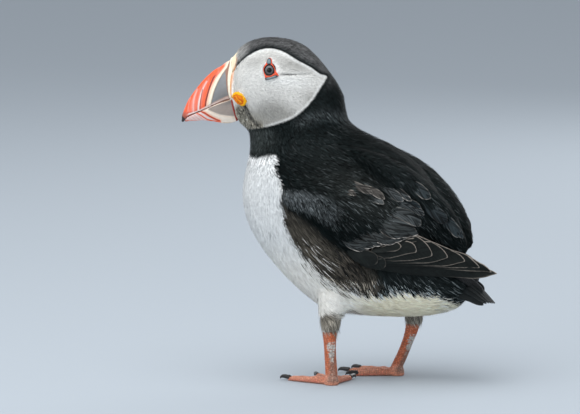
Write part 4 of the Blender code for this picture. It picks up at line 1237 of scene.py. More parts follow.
rosette_finish = Finish("gape_skin")
rosette_grain = rosette_finish.noise(2400.0, 3.0)
rosette_finish.set(
    Base_Color=rosette_finish.scaled(rosette_finish.attribute("plates", "Color"), 0.85 + rosette_grain * 0.3),
    Roughness=0.5 + rosette_grain * 0.2, Specular_IOR_Level=0.22, Subsurface_Weight=0.1, Subsurface_Scale=0.0008,
    Subsurface_Radius=(1.0, 0.5, 0.2),
    Normal=rosette_finish.bump(rosette_grain, 0.35, 0.00015),
)
for side in ("left", "right"):
    rosette = carved_copy("rosette_" + side, ["gape_rosette_" + side], 0.22 * MM, 0.15 * MM,
                          rosette_finish.material, 10)
    at = back_up(columns(rosette.data))
    x, y = at[:, 0] - ROSETTE_MIDDLE[0], at[:, 1] - ROSETTE_MIDDLE[1]
    wobble = 0.05 * np.sin(x * 2.1 + 1) + 0.05 * np.sin(y * 2.7)
    u = (x * math.cos(ROSETTE_TILT) - y * math.sin(ROSETTE_TILT)) / ROSETTE_LONG
    v = (x * math.sin(ROSETTE_TILT) + y * math.cos(ROSETTE_TILT)) / ROSETTE_WIDE
    v = v + wobble
    r = np.hypot(u, v)
    rings = np.exp(-(((r - 0.66) / 0.075) ** 2))
    slits = np.exp(-(((v - 0.20) / 0.085) ** 2)) + np.exp(-(((v + 0.20) / 0.085) ** 2))
    slits = slits * (np.abs(u) < 0.52) * (r < 0.6)
    ripple = 0.5 + 0.5 * np.sin(np.arctan2(v, u) * 17)
    raised = 0.30 * np.exp(-(((r - 0.86) / 0.14) ** 2)) * (0.8 + 0.2 * ripple) - 0.38 * rings - 0.42 * slits
    paint = Paint(ROSETTE_ORANGE, len(at))
    paint.over(ROSETTE_YELLOW, smoothstep(r, 0.62, 0.8))
    paint.over(ROSETTE_YELLOW, np.exp(-((v / 0.1) ** 2)) * (r < 0.5) * 0.6)
    # painted shade in the sunken folds and rings
    paint.over(ROSETTE_FOLD_SHADE, np.clip(slits + 0.6 * rings, 0, 1) * 0.85)
    places = columns(rosette.data)
    clear_of_mouth = np.abs(places[:, 0]) > 8 * MM
    places[:, 1] += (0.8 + 0.06 * x) * MM
    places[:, 2] += (0.25 - 0.03 * y) * MM
    place_vertices(rosette.data, places)
    push(rosette.data, raised * MM * clear_of_mouth)
    store_colours(rosette.data, "plates", paint.colours)
    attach(rosette, "root")
    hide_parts("gape_rosette_" + side)


# ----------------------------------------------------------------
# Eyes. A dark round eye with a grey iris sits in a ring of bare red skin, with a small blue-grey horn
# plate standing above it and a long one lying below.

EYE_X, EYE_RADIUS, RING_OPENING = 14.6, 4.5, 3.15
RING_OUTLINE = [(53.0, 192.2), (52.1, 190.3), (51.5, 188.5), (51.9, 186.6), (52.5, 184.8), (52.9, 183.5),
                (54.3, 183.9), (56.2, 184.2), (58.0, 184.8), (59.6, 185.4), (61.4, 184.8), (60.7, 186.1),
                (59.5, 187.6), (58.8, 189.3), (57.8, 191.0), (56.9, 192.5), (56.75, 194.0), (56.2, 195.1),
                (55.1, 195.6), (54.1, 195.1), (53.5, 193.8)]
UPPER_EYE_PLATE = [(53.5, 192.1), (53.6, 193.8), (54.2, 195.1), (55.15, 195.45), (56.0, 195.0), (56.4, 193.6),
                   (56.45, 192.1), (55.0, 191.75)]
LOWER_EYE_PLATE = [(52.8, 183.6), (54.2, 183.8), (56.3, 184.2), (58.1, 184.8), (59.7, 185.4), (61.0, 184.8),
                   (59.7, 183.9), (58.0, 183.3), (56.2, 182.9), (54.1, 182.4), (52.9, 182.6)]
# Each pad's section from its outline inwards, as (share of the way, millimetres above the face).
RING_PROFILE = [(0, -0.35), (0.08, 0.15), (0.3, 0.5), (0.6, 0.62), (0.85, 0.5), (1.0, 0.1)]
UPPER_PROFILE = [(0, 0.2), (0.15, 0.75), (0.5, 1.0), (1.0, 1.1)]
LOWER_PROFILE = [(0, 0.0), (0.2, 0.6), (0.55, 0.8), (1.0, 0.85)]
PAD_POINTS = 72
PUPIL_BLACK, IRIS_RIM = (0.002, 0.002, 0.002), (0.008, 0.007, 0.008)
IRIS_DARK, IRIS_GREY = (0.075, 0.075, 0.080), (0.19, 0.195, 0.205)
RING_RED, RING_INNER = (0.78, 0.072, 0.017), (0.05, 0.008, 0.006)
EYE_PLATE_GREY, EYE_PLATE_RIM = (0.165, 0.225, 0.25), (0.02, 0.022, 0.026)


def face_places(flat_points, sign):
    """Places on the face, in metres, at these (behind, above) points on one side."""
    places = []
    for back, up in flat_points:
        start = Vector((sign * 0.06, BILL_TIP + back * MM, up * MM))
        places.append(outer_tree.ray_cast(start, Vector((-sign, 0, 0)))[0])
    return np.array(places)


def pad(name, outline, sign, profile, finish, opening=None):
    """A raised pad of skin or horn on the face: rings from its outline in to its middle or the eye's opening."""
    curve = curve_through(outline, 12, closed=True)
    closed = np.vstack([curve, curve[:1]])
    along = np.concatenate([[0], np.cumsum(np.linalg.norm(np.diff(closed, axis=0), axis=1))])
    spots = np.linspace(0, along[-1], PAD_POINTS, endpoint=False)
    rim = np.stack([np.interp(spots, along, closed[:, i]) for i in (0, 1)], 1)
    if opening:
        angle = np.arctan2(rim[:, 1] - EYE_UP, rim[:, 0] - EYE_BACK)
        inner = np.stack([EYE_BACK + opening * np.cos(angle), EYE_UP + opening * np.sin(angle)], 1)
    else:
        middle = rim.mean(0)
        inner = middle + (rim - middle) * 0.06
    vertices, shares = [], []
    for share, height in profile:
        ring = rim + (inner - rim) * share
        vertices.append(face_places(ring, sign) + np.array([[sign, 0, 0]]) * height * MM)
        shares.append(np.full(len(ring), share))
    count, rows = PAD_POINTS, len(profile)
    faces_made = []
    for row in range(rows - 1):
        for i in range(count):
            j = (i + 1) % count
            faces_made.append((row * count + i, row * count + j, (row + 1) * count + j, (row + 1) * count + i))
    if not opening:
        faces_made.append(tuple((rows - 1) * count + i for i in range(count)))
    mesh = bpy.data.meshes.new(name)
    mesh.from_pydata([tuple(v) for v in np.concatenate(vertices)], [], faces_made)
    work = bmesh.new()
    work.from_mesh(mesh)
    bmesh.ops.recalc_face_normals(work, faces=work.faces)
    if sum(f.normal.x * f.calc_area() for f in work.faces) * sign < 0:
        bmesh.ops.reverse_faces(work, faces=work.faces)
    work.to_mesh(mesh)
    work.free()
    mesh.attributes.new("share", "FLOAT", "POINT").data.foreach_set("value", np.concatenate(shares))
    mesh.materials.append(finish)
    piece = object_of(mesh)
    apply_modifiers(piece, ("SOLIDIFY", {"thickness": 0.5 * MM, "offset": -1.0}),
                    ("SUBSURF", {"levels": 1, "render_levels": 1}))
    piece.data.shade_smooth()
    return piece


eye_finish = Finish("eye")
eye_place = eye_finish.place()
across_eye = (((eye_finish.axis(eye_place, "Y") - (BILL_TIP + EYE_BACK * MM)) / MM) ** 2.0
              + ((eye_finish.axis(eye_place, "Z") - EYE_UP * MM) / MM) ** 2.0) ** 0.5
iris_grain = eye_finish.noise(1900.0, 3.0)
iris = eye_finish.mix(iris_grain, IRIS_DARK, IRIS_GREY)
iris = eye_finish.mix(eye_finish.ramp(across_eye, 2.35, 2.75), iris, IRIS_RIM)
iris = eye_finish.mix(eye_finish.ramp(across_eye, 1.40, 1.65), PUPIL_BLACK, iris)
eye_finish.set(Base_Color=iris, Roughness=0.16, Specular_IOR_Level=0.25, Coat_Weight=0.15, Coat_Roughness=0.03)

ring_finish = Finish("eye_ring_skin")
ring_share = ring_finish.attribute("share")
ring_grain = ring_finish.noise(2200.0, 2.0)
ring_colour = ring_finish.mix(ring_finish.ramp(ring_share, 0.72, 0.95), RING_RED, RING_INNER)
ring_finish.set(Base_Color=ring_finish.scaled(ring_colour, 0.8 + ring_grain * 0.4), Roughness=0.4,
                Normal=ring_finish.bump(ring_grain, 0.4, 0.00015))

eye_plate_finish = Finish("eye_plate_horn")
plate_grain = eye_plate_finish.noise(1500.0, 3.0)
plate_colour = eye_plate_finish.mix(eye_plate_finish.ramp(eye_plate_finish.attribute("share"), 0.12, 0.4),
                                    EYE_PLATE_RIM, EYE_PLATE_GREY)
eye_plate_finish.set(Base_Color=eye_plate_finish.scaled(plate_colour, 0.75 + plate_grain * 0.5), Roughness=0.5,
                     Specular_IOR_Level=0.25, Normal=eye_plate_finish.bump(plate_grain, 0.4, 0.0002))

for side, sign in (("left", 1), ("right", -1)):
    deselect()
    bpy.ops.mesh.primitive_uv_sphere_add(segments=48, ring_count=32, radius=EYE_RADIUS * MM, location=(0, 0, 0))
    ball = bpy.context.object
    ball.name = ball.data.name = "eyeball_" + side
    turned = Matrix.Rotation(math.radians(90), 4, "Y")
    placed = Matrix.Translation((sign * EYE_X * MM, BILL_TIP + EYE_BACK * MM, EYE_UP * MM))
    ball.data.transform(placed @ turned)
    ball.data.shade_smooth()
    ball.data.materials.append(eye_finish.material)
    ring = pad("eye_ring_" + side, RING_OUTLINE, sign, RING_PROFILE, ring_finish.material, RING_OPENING)
    upper_plate = pad("eye_upper_plate_" + side, UPPER_EYE_PLATE, sign, UPPER_PROFILE, eye_plate_finish.material)
    lower_plate = pad("eye_lower_plate_" + side, LOWER_EYE_PLATE, sign, LOWER_PROFILE, eye_plate_finish.material)
    for piece, node, slot in ((ball, "eye_", "eye"), (ring, "eye_rim_", "eye_rim"),
                              (upper_plate, "eye_plate_upper_", "eye_plate"),
                              (lower_plate, "eye_plate_lower_", "eye_plate")):
        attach(piece, "root")
        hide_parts(node + side)


# ----------------------------------------------------------------
# Legs and feet. Bare orange-red skin with three webbed toes in front and no hind toe: rows of cross
# scutes on the shank's front and the toes, fine net-like scales elsewhere, and a worn grey-brown rear.

SHANK_ORANGE = (0.64, 0.135, 0.040)
TOE_ORANGE = (0.88, 0.355, 0.225)
WEB_PINK = (0.78, 0.235, 0.150)
PALE_SKIN = (0.80, 0.44, 0.31)
REAR_BROWN = (0.20, 0.125, 0.095)
WORN_GREY = (0.62, 0.585, 0.54)
SOLE_SHADE = (0.30, 0.17, 0.12)
CLAW_BLACK, CLAW_BROWN = (0.006, 0.006, 0.007), (0.035, 0.031, 0.028)
# Each shank's middle line in millimetres, as (above the floor, out to the left, behind the middle).
SHANK_LINES = {"left": [(5.8, 24.0, -2.65), (15.0, 23.4, -3.25), (26.0, 22.6, -3.85), (31.6, 21.8, -3.85)],
               "right": [(5.8, -22.0, 32.15), (15.0, -21.4, 36.35), (26.0, -20.6, 40.55), (32.0, -20.0, 41.95)]}
TOE_HEADINGS = {"left": (30.0, 68.0, 111.0), "right": (38.0, 15.0, -13.0)}  # degrees from ahead to its right
TOE_REACH = (32.0, 32.0, 25.0)  # from the heel to each toe's end


def toe_line(flat, heel, degrees):
    """A toe's heading, and how far along it and beside it each flat place lies, in millimetres."""
    way = -np.array([math.sin(math.radians(degrees)), math.cos(math.radians(degrees))])
    along = (flat - heel) @ way
    return way, along, np.linalg.norm(flat - heel - along[:, None] * way, axis=1)


leg_finish = Finish("leg_skin")
net = leg_finish.node("TexVoronoi", {"feature": "DISTANCE_TO_EDGE"}, 0, Vector=leg_finish.place(), Scale=820.0)
each = leg_finish.node("TexVoronoi", {"feature": "F1"}, "Color", Vector=leg_finish.place(), Scale=820.0)
cells = leg_finish.ramp(net, 0.0, 0.22)
leg_grain = leg_finish.noise(900.0, 4.0)
wear = leg_finish.noise(900.0, 6.0) * 1.1 + leg_finish.attribute("worn")
worn = leg_finish.ramp(wear, 0.96, 1.30)
mottled = leg_finish.mix(leg_finish.axis(each, "X") * 0.28, leg_finish.attribute("markings", "Color"), PALE_SKIN)
leg_colour = leg_finish.mix(worn, mottled, WORN_GREY)
leg_finish.set(Base_Color=leg_finish.scaled(leg_colour, (0.50 + cells * 0.50) * (0.74 + leg_grain * 0.5)),
               Roughness=0.38 + leg_grain * 0.25, Specular_IOR_Level=0.4,
               Normal=leg_finish.bump(cells + leg_grain * 0.6, 0.6, 0.0003))

claw_finish = Finish("claw_horn")
claw_grain = claw_finish.noise(1600.0, 3.0)
claw_finish.set(Base_Color=claw_finish.mix(claw_grain, CLAW_BLACK, CLAW_BROWN),
                Roughness=0.2 + claw_grain * 0.2, Specular_IOR_Level=0.5,
                Normal=claw_finish.bump(claw_grain, 0.2, 0.0001))

for side in ("left", "right"):
    leg = carved_copy("leg_" + side, ["shank_" + side, "foot_" + side], 0.34 * MM, 0.12 * MM,
                      leg_finish.material, 5)
    heel = np.array(SHANK_LINES[side][0][1:])
    places = columns(leg.data)
    flat, high = places[:, :2] / MM, places[:, 2] / MM
    joint = np.exp(-(((high - 6.0) / 2.6) ** 2)) * (np.linalg.norm(flat - heel, axis=1) < 9)
    group = leg.vertex_groups.new(name="ankle")
    for i in np.flatnonzero(joint > 0.1):
        group.add([int(i)], float(joint[i]), "REPLACE")
    apply_modifiers(leg, ("SMOOTH", {"factor": 0.5, "iterations": 45, "vertex_group": "ankle"}))
    places, normals = columns(leg.data), columns(leg.data, "normal")
    flat, high = places[:, :2] / MM, places[:, 2] / MM
    line = np.array(SHANK_LINES[side])
    axis = np.stack([np.interp(high, line[:, 0], line[:, i]) for i in (1, 2)], 1)
    heading = math.radians(TOE_HEADINGS[side][1])
    rear = np.array([math.sin(heading), math.cos(heading)])
    out = flat - axis
    angle = np.degrees(np.arctan2(out[:, 0] * rear[1] - out[:, 1] * rear[0], out @ rear))
    shank = smoothstep(high, 5.5, 8.0)
    toe_part, scutes = np.zeros(len(flat)), np.zeros(len(flat))
    for degrees, reach in zip(TOE_HEADINGS[side], TOE_REACH):
        _, along, beside = toe_line(flat, heel, degrees)
        near = smoothstep(2.9 - beside, 0, 1.2) * (along > 3) * (along < reach + 2)
        near *= smoothstep(high, 1.0, 2.0)
        toe_part = np.maximum(toe_part, near)
        scutes += near * (0.5 + 0.5 * np.cos(along * 2 * math.pi / 1.35)) ** 0.5
    round_heel = np.arctan2(flat[:, 1] - heel[1], flat[:, 0] - heel[0])
    from_heel = np.linalg.norm(flat - heel, axis=1)
    web = (1 - toe_part) * (1 - shank) * smoothstep(from_heel, 6, 10)
    pleats = web * np.sin(round_heel * 46 + 1.3 * np.sin(from_heel * 0.5)) * smoothstep(from_heel, 8, 16)
    front = smoothstep(np.abs(angle), 80, 125) * shank
    bands = front * (0.5 + 0.5 * np.cos(high * 2 * math.pi / 1.7)) ** 0.5
    raised = 0.22 * (scutes - 0.5 * toe_part) + 0.18 * pleats + 0.20 * (bands - 0.5 * front)
    swollen = 0.2 * np.exp(-(((high - 26.5) / 3.2) ** 2)) * shank
    push(leg.data, (raised * (high > 0.6) + swollen) * MM)
    places = columns(leg.data)
    places[:, 2] = np.maximum(places[:, 2], 0)  # the soles stay flat on the floor
    place_vertices(leg.data, places)
    paint = Paint(SHANK_ORANGE, len(flat))
    paint.over(TOE_ORANGE, (1 - shank) * 0.9)
    paint.over(WEB_PINK, web)
    paint.over(SHANK_ORANGE, toe_part * smoothstep(18 - from_heel, 0, 14) * 0.5)
    wide = np.interp(high, [2, 8, 16, 19, 25, 30], [60, 34, 28, 42, 62, 56])
    wide = wide + 9 * np.sin(high * 2.3) * np.sin(high * 0.9) + (30 if side == "right" else 8)
    strip = smoothstep(wide - np.abs(angle), -24, 26) * smoothstep(high, 0.6, 3.0)
    strip *= smoothstep(high, 6, 9) + (from_heel < 7) * smoothstep(9 - high, 0, 3)
    paint.over(REAR_BROWN, strip * smoothstep(20.5 - high, 0, 3) * 0.75)
    paint.over(SHANK_ORANGE, front * 0.3)
    between = np.clip(front * 0.5 + toe_part * 0.5 - bands * 0.5 - scutes * 0.5, 0, 1)
    paint.colours *= (1 - 0.85 * between)[:, None]  # darker between the scutes
    # painted shade on the undersides that face the floor
    paint.over(SOLE_SHADE, smoothstep(-normals[:, 2], 0.3, 0.8) * (high < 3) * 0.7)
    store_colours(leg.data, "markings", paint.colours)
    ringed = 0.90 + 0.10 * np.cos(high * 2 * math.pi / 1.6 + 0.6 * np.sin(angle / 11))
    patch = 0.80 * strip * smoothstep(high, 12, 18) * smoothstep(29.5 - high, 0, 6) * ringed
    patch += 0.38 * strip * smoothstep(17 - high, 0, 4)
    leg.data.attributes.new("worn", "FLOAT", "POINT").data.foreach_set("value", patch)
    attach(leg, "root")
    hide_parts("shank_" + side, "foot_" + side)

    nodes = [f"claw_{toe}_{side}" for toe in ("outer", "middle", "inner")]
    claws = carved_copy("claws_" + side, nodes, 0.2 * MM, 0.12 * MM, claw_finish.material, 5)
    places = columns(claws.data)
    flat = places[:, :2] / MM
    for degrees, reach in zip(TOE_HEADINGS[side], TOE_REACH):  # each claw's root sinks into its toe
        way, along, beside = toe_line(flat, heel, degrees)
        mine = (beside < 3) & (along > reach - 2)
        pull = np.where(mine, 1.5 * smoothstep(reach + 3.0 - along, 0, 2.5), 0)
        places[:, :2] -= pull[:, None] * way * MM
    place_vertices(claws.data, places)
    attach(claws, "root")
    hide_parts(*nodes)


# ----------------------------------------------------------------
# Flight feathers. Stiff blackish vanes with a thin pale edge are stacked like slats: eight primaries
# run to the wing's tip, and shorter secondaries and coverts lie over their roots.

VANE_BLACK = (0.0075, 0.0100, 0.0092)
VANE_EDGE = (0.35, 0.305, 0.262)
COVERT_BLACK, COVERT_EDGE = (0.016, 0.018, 0.018), (0.30, 0.27, 0.24)
SHOULDER_EDGE = (0.26, 0.24, 0.215)
VANE_THICKNESS, VANE_CAMBER, SHAFT_HEIGHT = 0.22, 0.05, 0.14
# The line along which the primaries' upper edges lie before each one curves down to its own tip.
WING_TOP = [(104, 80.5), (118, 84.5), (130, 87), (135.5, 88.8), (139.5, 90.5), (144.7, 92.4), (151.2, 89.2),
            (157.4, 85.9), (163.7, 82.9), (172.8, 79.7), (179.2, 75.7), (183.1, 72.8), (187.1, 69.8), (192.5, 66.0)]

# Each feather's shaft, as (behind the bill's tip, above the floor), from its root to its tip.
PRIMARIES = [
    [(118.9, 82.2), (124.7, 84.1), (130.9, 85.3), (136.3, 85.4)],
    [(120.2, 79.2), (127.8, 83.1), (137.9, 84.2), (144.8, 81.9)],
    [(120.1, 77.9), (130.4, 82.1), (145.3, 82.1), (153.6, 79.3)],
    [(120.1, 76.9), (135.4, 81.2), (153.3, 80.7), (163.0, 77.8)],
    [(120.1, 75.9), (139.1, 79.7), (162.6, 78.4), (172.8, 75.2)],
    [(120.1, 75.2), (142.9, 78.3), (170.7, 76.2), (181.0, 73.0)],
    [(120.0, 74.6), (146.6, 76.2), (178.3, 72.8), (188.2, 69.4)],
    [(112.0, 73.2), (130.0, 71.6), (150.0, 69.8), (178.0, 68.0), (191.9, 66.4)],
]
# Their widths above and below the shaft, where None reaches up to the wing's top line, and how far
# each one's tip stands off the wing.
PRIMARY_WIDTHS = [(3.2, 3.2), (None, 5.0), (None, 5.8), (None, 6.3), (None, 6.4), (None, 5.6), (None, 4.2),
                  (4.4, 3.4)]
PRIMARY_TIP_LIFTS = (0.6, 0.6, 0.6, 0.6, 0.6, 1.7, 0.2, 0.2)
SECONDARIES = [
    [(102.5, 81.8), (110.5, 80.6), (117.5, 78.8), (122.3, 76.2)],
    [(107.5, 77.8), (115.5, 77.2), (122.3, 76.2), (127.3, 74.2)],
]
GREAT_COVERTS = [
    [(124.2, 102.1), (132.3, 97.4), (139.0, 94.1), (145.0, 92.6)],
    [(122.9, 102.2), (128.4, 97.2), (134.0, 93.8), (140.6, 91.8)],
    [(122.6, 98.8), (127.0, 95.3), (130.8, 93.0), (136.0, 91.4)],
    [(122.2, 96.6), (127.6, 92.4), (132.0, 90.4), (137.2, 90.0)],
    [(119.6, 94.9), (124.6, 91.0), (129.0, 88.9), (134.2, 89.3)],
    [(116.1, 95.4), (120.3, 92.6), (124.0, 89.8), (127.2, 87.2)],
    [(110.6, 92.8), (115.6, 90.3), (120.5, 88.5), (125.7, 87.0)],
    [(105.0, 91.6), (110.0, 88.4), (114.8, 87.0), (120.6, 86.1)],
    [(100.3, 91.2), (105.0, 87.2), (111.0, 85.2), (117.8, 85.0)],
]
SMOKE, BROWN_GREY, SLATE = (0.027, 0.030, 0.0305), (0.032, 0.029, 0.026), (0.0095, 0.013, 0.0145)
# The shoulder's larger feathers: shaft, widths above and below it, how pale the edge is, and colour.
SHOULDER_FEATHERS = [
    ([(103.0, 126.4), (108.0, 123.1), (114.0, 119.8), (119.9, 116.8)], (2.2, 2.4), 0.4, BROWN_GREY),
    ([(102.5, 119.4), (105.4, 118.4), (107.9, 117.5), (110.6, 115.6)], (1.8, 2.0), 0.5, BROWN_GREY),
    ([(119.4, 124.2), (125.3, 120.8), (131.8, 117.0), (138.0, 113.3)], (3.0, 3.2), 0.7, SMOKE),
    ([(129.5, 122.2), (134.0, 119.3), (138.5, 116.4), (142.9, 113.5)], (2.3, 2.0), 1.6, SMOKE),
    ([(108.0, 123.1), (114.4, 120.7), (120.8, 117.7), (126.9, 113.3)], (2.4, 2.4), 0.8, BROWN_GREY),
    ([(143.5, 125.0), (146.5, 121.5), (150.0, 117.8), (153.9, 114.3)], (3.0, 3.6), 0.6, SLATE),
    ([(117.5, 116.4), (121.0, 114.0), (123.9, 112.5), (126.6, 110.5)], (2.2, 2.2), 0.6, SMOKE),
    ([(131.3, 115.0), (138.3, 113.3), (144.3, 111.5), (148.5, 109.1)], (2.4, 2.2), 0.4, SLATE),
    ([(127.6, 113.8), (136.1, 111.0), (144.2, 108.8), (150.1, 104.9)], (2.8, 2.8), 0.4, SMOKE),
    ([(123.5, 109.2), (131.6, 106.5), (140.6, 103.2), (147.0, 97.8)], (3.6, 3.6), 0.6, SMOKE),
    ([(122.2, 105.8), (129.9, 101.7), (137.9, 97.0), (144.5, 92.7)], (3.4, 3.5), 1.0, SMOKE),
    ([(117.0, 100.5), (123.7, 96.5), (131.7, 92.8), (139.2, 90.9)], (3.0, 2.8), 0.8, SMOKE),
    ([(150.3, 112.6), (154.2, 108.6), (158.9, 104.0), (163.2, 100.2)], (3.8, 3.8), 0.15, SLATE),
    ([(160.9, 105.5), (164.2, 100.9), (167.4, 95.8), (169.9, 90.6)], (3.0, 3.6), 0.4, SLATE),
    ([(165.0, 103.6), (167.4, 98.8), (169.9, 93.9), (171.6, 89.6)], (2.0, 2.8), 0.2, SLATE),
]


def side_across(flat, sign, tree):
    """How far out the bird's side lies at each flat place, in metres, evened along the line."""
    out = []
    for back, up in flat:
        spot = tree.ray_cast(Vector((sign * 0.09, BILL_TIP + back * MM, up * MM)), Vector((-sign, 0, 0)))[0]
        out.append(np.nan if spot is None else spot.x * sign)
    out = np.array(out)
    known = np.flatnonzero(~np.isnan(out))
    if len(known) == 0:
        return out
    out = np.interp(np.arange(len(out)), known, out[known])
    for _ in range(3):
        out = np.convolve(np.pad(out, 1, mode="edge"), [0.25, 0.5, 0.25], "valid")
    return out


def side_line(flat, sign, tree, lift):
    """A line over the bird's side, in metres, and the way it faces at each point."""
    out = side_across(flat, sign, tree)
    above = side_across(flat + (0, 2.5), sign, tree)
    below = side_across(flat - (0, 2.5), sign, tree)
    lean = np.nan_to_num((above - below) / (5 * MM), nan=0.0)
    slope = np.gradient(out) / np.maximum(np.gradient(flat[:, 0]) * MM, 1e-5)
    facing = unit(np.stack([np.full(len(flat), sign), -slope, -lean], 1))
    places = np.stack([sign * out, BILL_TIP + flat[:, 0] * MM, flat[:, 1] * MM], 1)
    return places + facing * (lift * MM)[:, None], facing


def even_rows(points, rows, crowd=1.35):
    """The points of a smooth line through these, closer together towards its end."""
    fine = curve_through(points, 20)
    run = np.concatenate([[0], np.cumsum(np.linalg.norm(np.diff(fine, axis=0), axis=1))])
    share = 1 - (1 - np.linspace(0, 1, rows)) ** crowd
    at = share * run[-1]
    return np.stack([np.interp(at, run, fine[:, i]) for i in range(fine.shape[1])], 1), at


class Vanes:
    """Collects long feathers, each a grid with a shaft and a pale edge, as one piece with a thickness."""

    def __init__(self):
        self.vertices, self.quads, self.colours, self.maps, self.barbs = [], [], [], [], []
        self.count = 0

    def add(self, spine, facing, run, widths, ramps, edge, seed, colour=VANE_BLACK, rim=VANE_EDGE, slant=1.6):
        """spine in metres and the way it faces, and the run in millimetres from the root at each point.

        widths and ramps are above and below the shaft, a ramp being the length of that half's rounded tip.
        edge is the pale edge's width, then how pale it is above and below.
        """
        draw = np.random.default_rng(seed)
        rows = len(spine)
        way = unit(np.gradient(spine, axis=0))
        upward = unit(np.cross(way, facing))
        upward *= np.where((upward[:, 2:] if abs(facing[rows // 2, 2]) < 0.8 else upward[:, :1]) < 0, -1, 1)
        left = run[-1] - run
        offsets, rims = [np.zeros(rows)], [np.zeros(rows)]
        for half, (width, ramp) in enumerate(zip(widths, ramps)):
            tip_shape = (1 - (1 - np.minimum(left / ramp, 1)) ** 2.2) ** 0.8
            full = width * tip_shape * np.interp(run / run[-1], [0, 0.1, 0.35], [0.1, 0.6, 1])
            inner = full - np.minimum(edge[0] + 0.3, 0.5 * full)
            steps = [0.35 * inner, 0.7 * inner, inner, full - np.minimum(edge[0], 0.3 * full), full]
            strength = edge[1 + half] * smoothstep((4.0 if half == 0 else 2.0) * ramp - left, 0, 1.3 * ramp)
            pale = [0 * full, 0 * full, 0 * full, strength, strength]
            if half == 0:
                offsets = steps[::-1] + offsets
                rims = pale[::-1] + rims
            else:
                offsets = offsets + [-s for s in steps]
                rims = rims + pale
        offsets, rims = np.stack(offsets, 1), np.stack(rims, 1)
        rims = np.maximum(rims, (smoothstep(0.9 - left, 0, 0.5) * min(edge[1], 1))[:, None])
        columns_wide = offsets.shape[1]
        widest = np.abs(offsets).max()
        fall = VANE_CAMBER * offsets**2 / widest
        shaft = np.arange(columns_wide) == columns_wide // 2
        ridge = np.where(shaft, SHAFT_HEIGHT, 0.0) * np.minimum(left / 6, 1)[:, None]
        points = (spine[:, None] + upward[:, None] * offsets[..., None] * MM
                  + facing[:, None] * ((ridge - fall) * MM)[..., None])
        tone = draw.normal(1.0, 0.10)
        grain = draw.normal(1.0, 0.06, (rows, columns_wide, 1))
        colours = np.tile(np.array(colour), (rows, columns_wide, 1)) * tone * grain
        colours = colours + (np.array(rim) - colours) * rims[..., None]
        _, _, polygon, _ = outer_tree.find_nearest(Vector(spine[0]))
        root = loop_uv[skin.data.polygons[polygon].loop_start]
        share = run / run[-1] - 0.5
        maps = np.stack(np.broadcast_arrays(root[0] + PATCH * offsets / widest,
                                            root[1] + 3 * PATCH * share[:, None]), 2)
        index = np.arange(rows * columns_wide).reshape(rows, columns_wide) + self.count
        a, b, c, d = index[:-1, :-1], index[:-1, 1:], index[1:, 1:], index[1:, :-1]
        quads = np.stack([a, b, c, d], 2).reshape(-1, 4)
        corner = points[0, 0], points[0, -1], points[4, -1]
        outwards = np.cross(corner[1] - corner[0], corner[2] - corner[0]) @ facing[0]
        if outwards < 0:
            quads = quads[:, ::-1]
        self.vertices.append(points.reshape(-1, 3))
        self.colours.append(colours.reshape(-1, 3))
        self.maps.append(maps.reshape(-1, 2))
        barbs = np.broadcast_arrays(run[:, None] - slant * np.abs(offsets), 0.4 * offsets, 9.7 * seed)
        self.barbs.append(np.stack(barbs, 2).reshape(-1, 3))
        self.quads.append(quads)
        self.count += rows * columns_wide

    def finish_piece(self, name, finish, nodes):
        mesh = bpy.data.meshes.new(name)
        quads = np.concatenate(self.quads)
        mesh.from_pydata(np.concatenate(self.vertices).tolist(), [], quads.tolist())
        mesh.uv_layers.new(name="OFBake").data.foreach_set("uv", np.concatenate(self.maps)[quads.ravel()].ravel())
        store_colours(mesh, "plumage", np.concatenate(self.colours))
        barbs = mesh.attributes.new("barbs", "FLOAT_VECTOR", "POINT")
        barbs.data.foreach_set("vector", np.concatenate(self.barbs).ravel())
        mesh.materials.append(finish)
        piece = object_of(mesh)
        apply_modifiers(piece, ("SOLIDIFY", {"thickness": VANE_THICKNESS * MM, "offset": -1.0}))
        piece.data.shade_smooth()
        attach(piece, "root")
        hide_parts(*nodes)


def vane_finish(name, dim, bright, period):
    """A feather's vane: fine barbs slant off its shaft, and groups of them are paler or darker."""
    finish = Finish(name)
    barbs = finish.attribute("barbs", "Vector")
    barb = (finish.axis(barbs, "X") * (2 * math.pi / 0.55)).sine()
    groups = finish.ramp(finish.noise(1.0 / period, 3.0, barbs), 0.34, 0.70)
    grain = finish.noise(900.0, 3.0)
    return finish.set(
        Base_Color=finish.scaled(finish.attribute("plumage", "Color"),
                                 dim + groups * (bright - dim) + (grain + barb * 0.25) * (0.3 * dim)),
        Roughness=0.5 + grain * 0.2, Specular_IOR_Level=0.16,
        Normal=finish.bump(barb * 0.4 + groups * 1.5 + grain, 0.4, 0.00014))


flight_finish = vane_finish("flight_vanes", 0.62, 1.15, 1.6)
shoulder_finish = vane_finish("shoulder_vanes", 0.28, 3.9, 2.7)

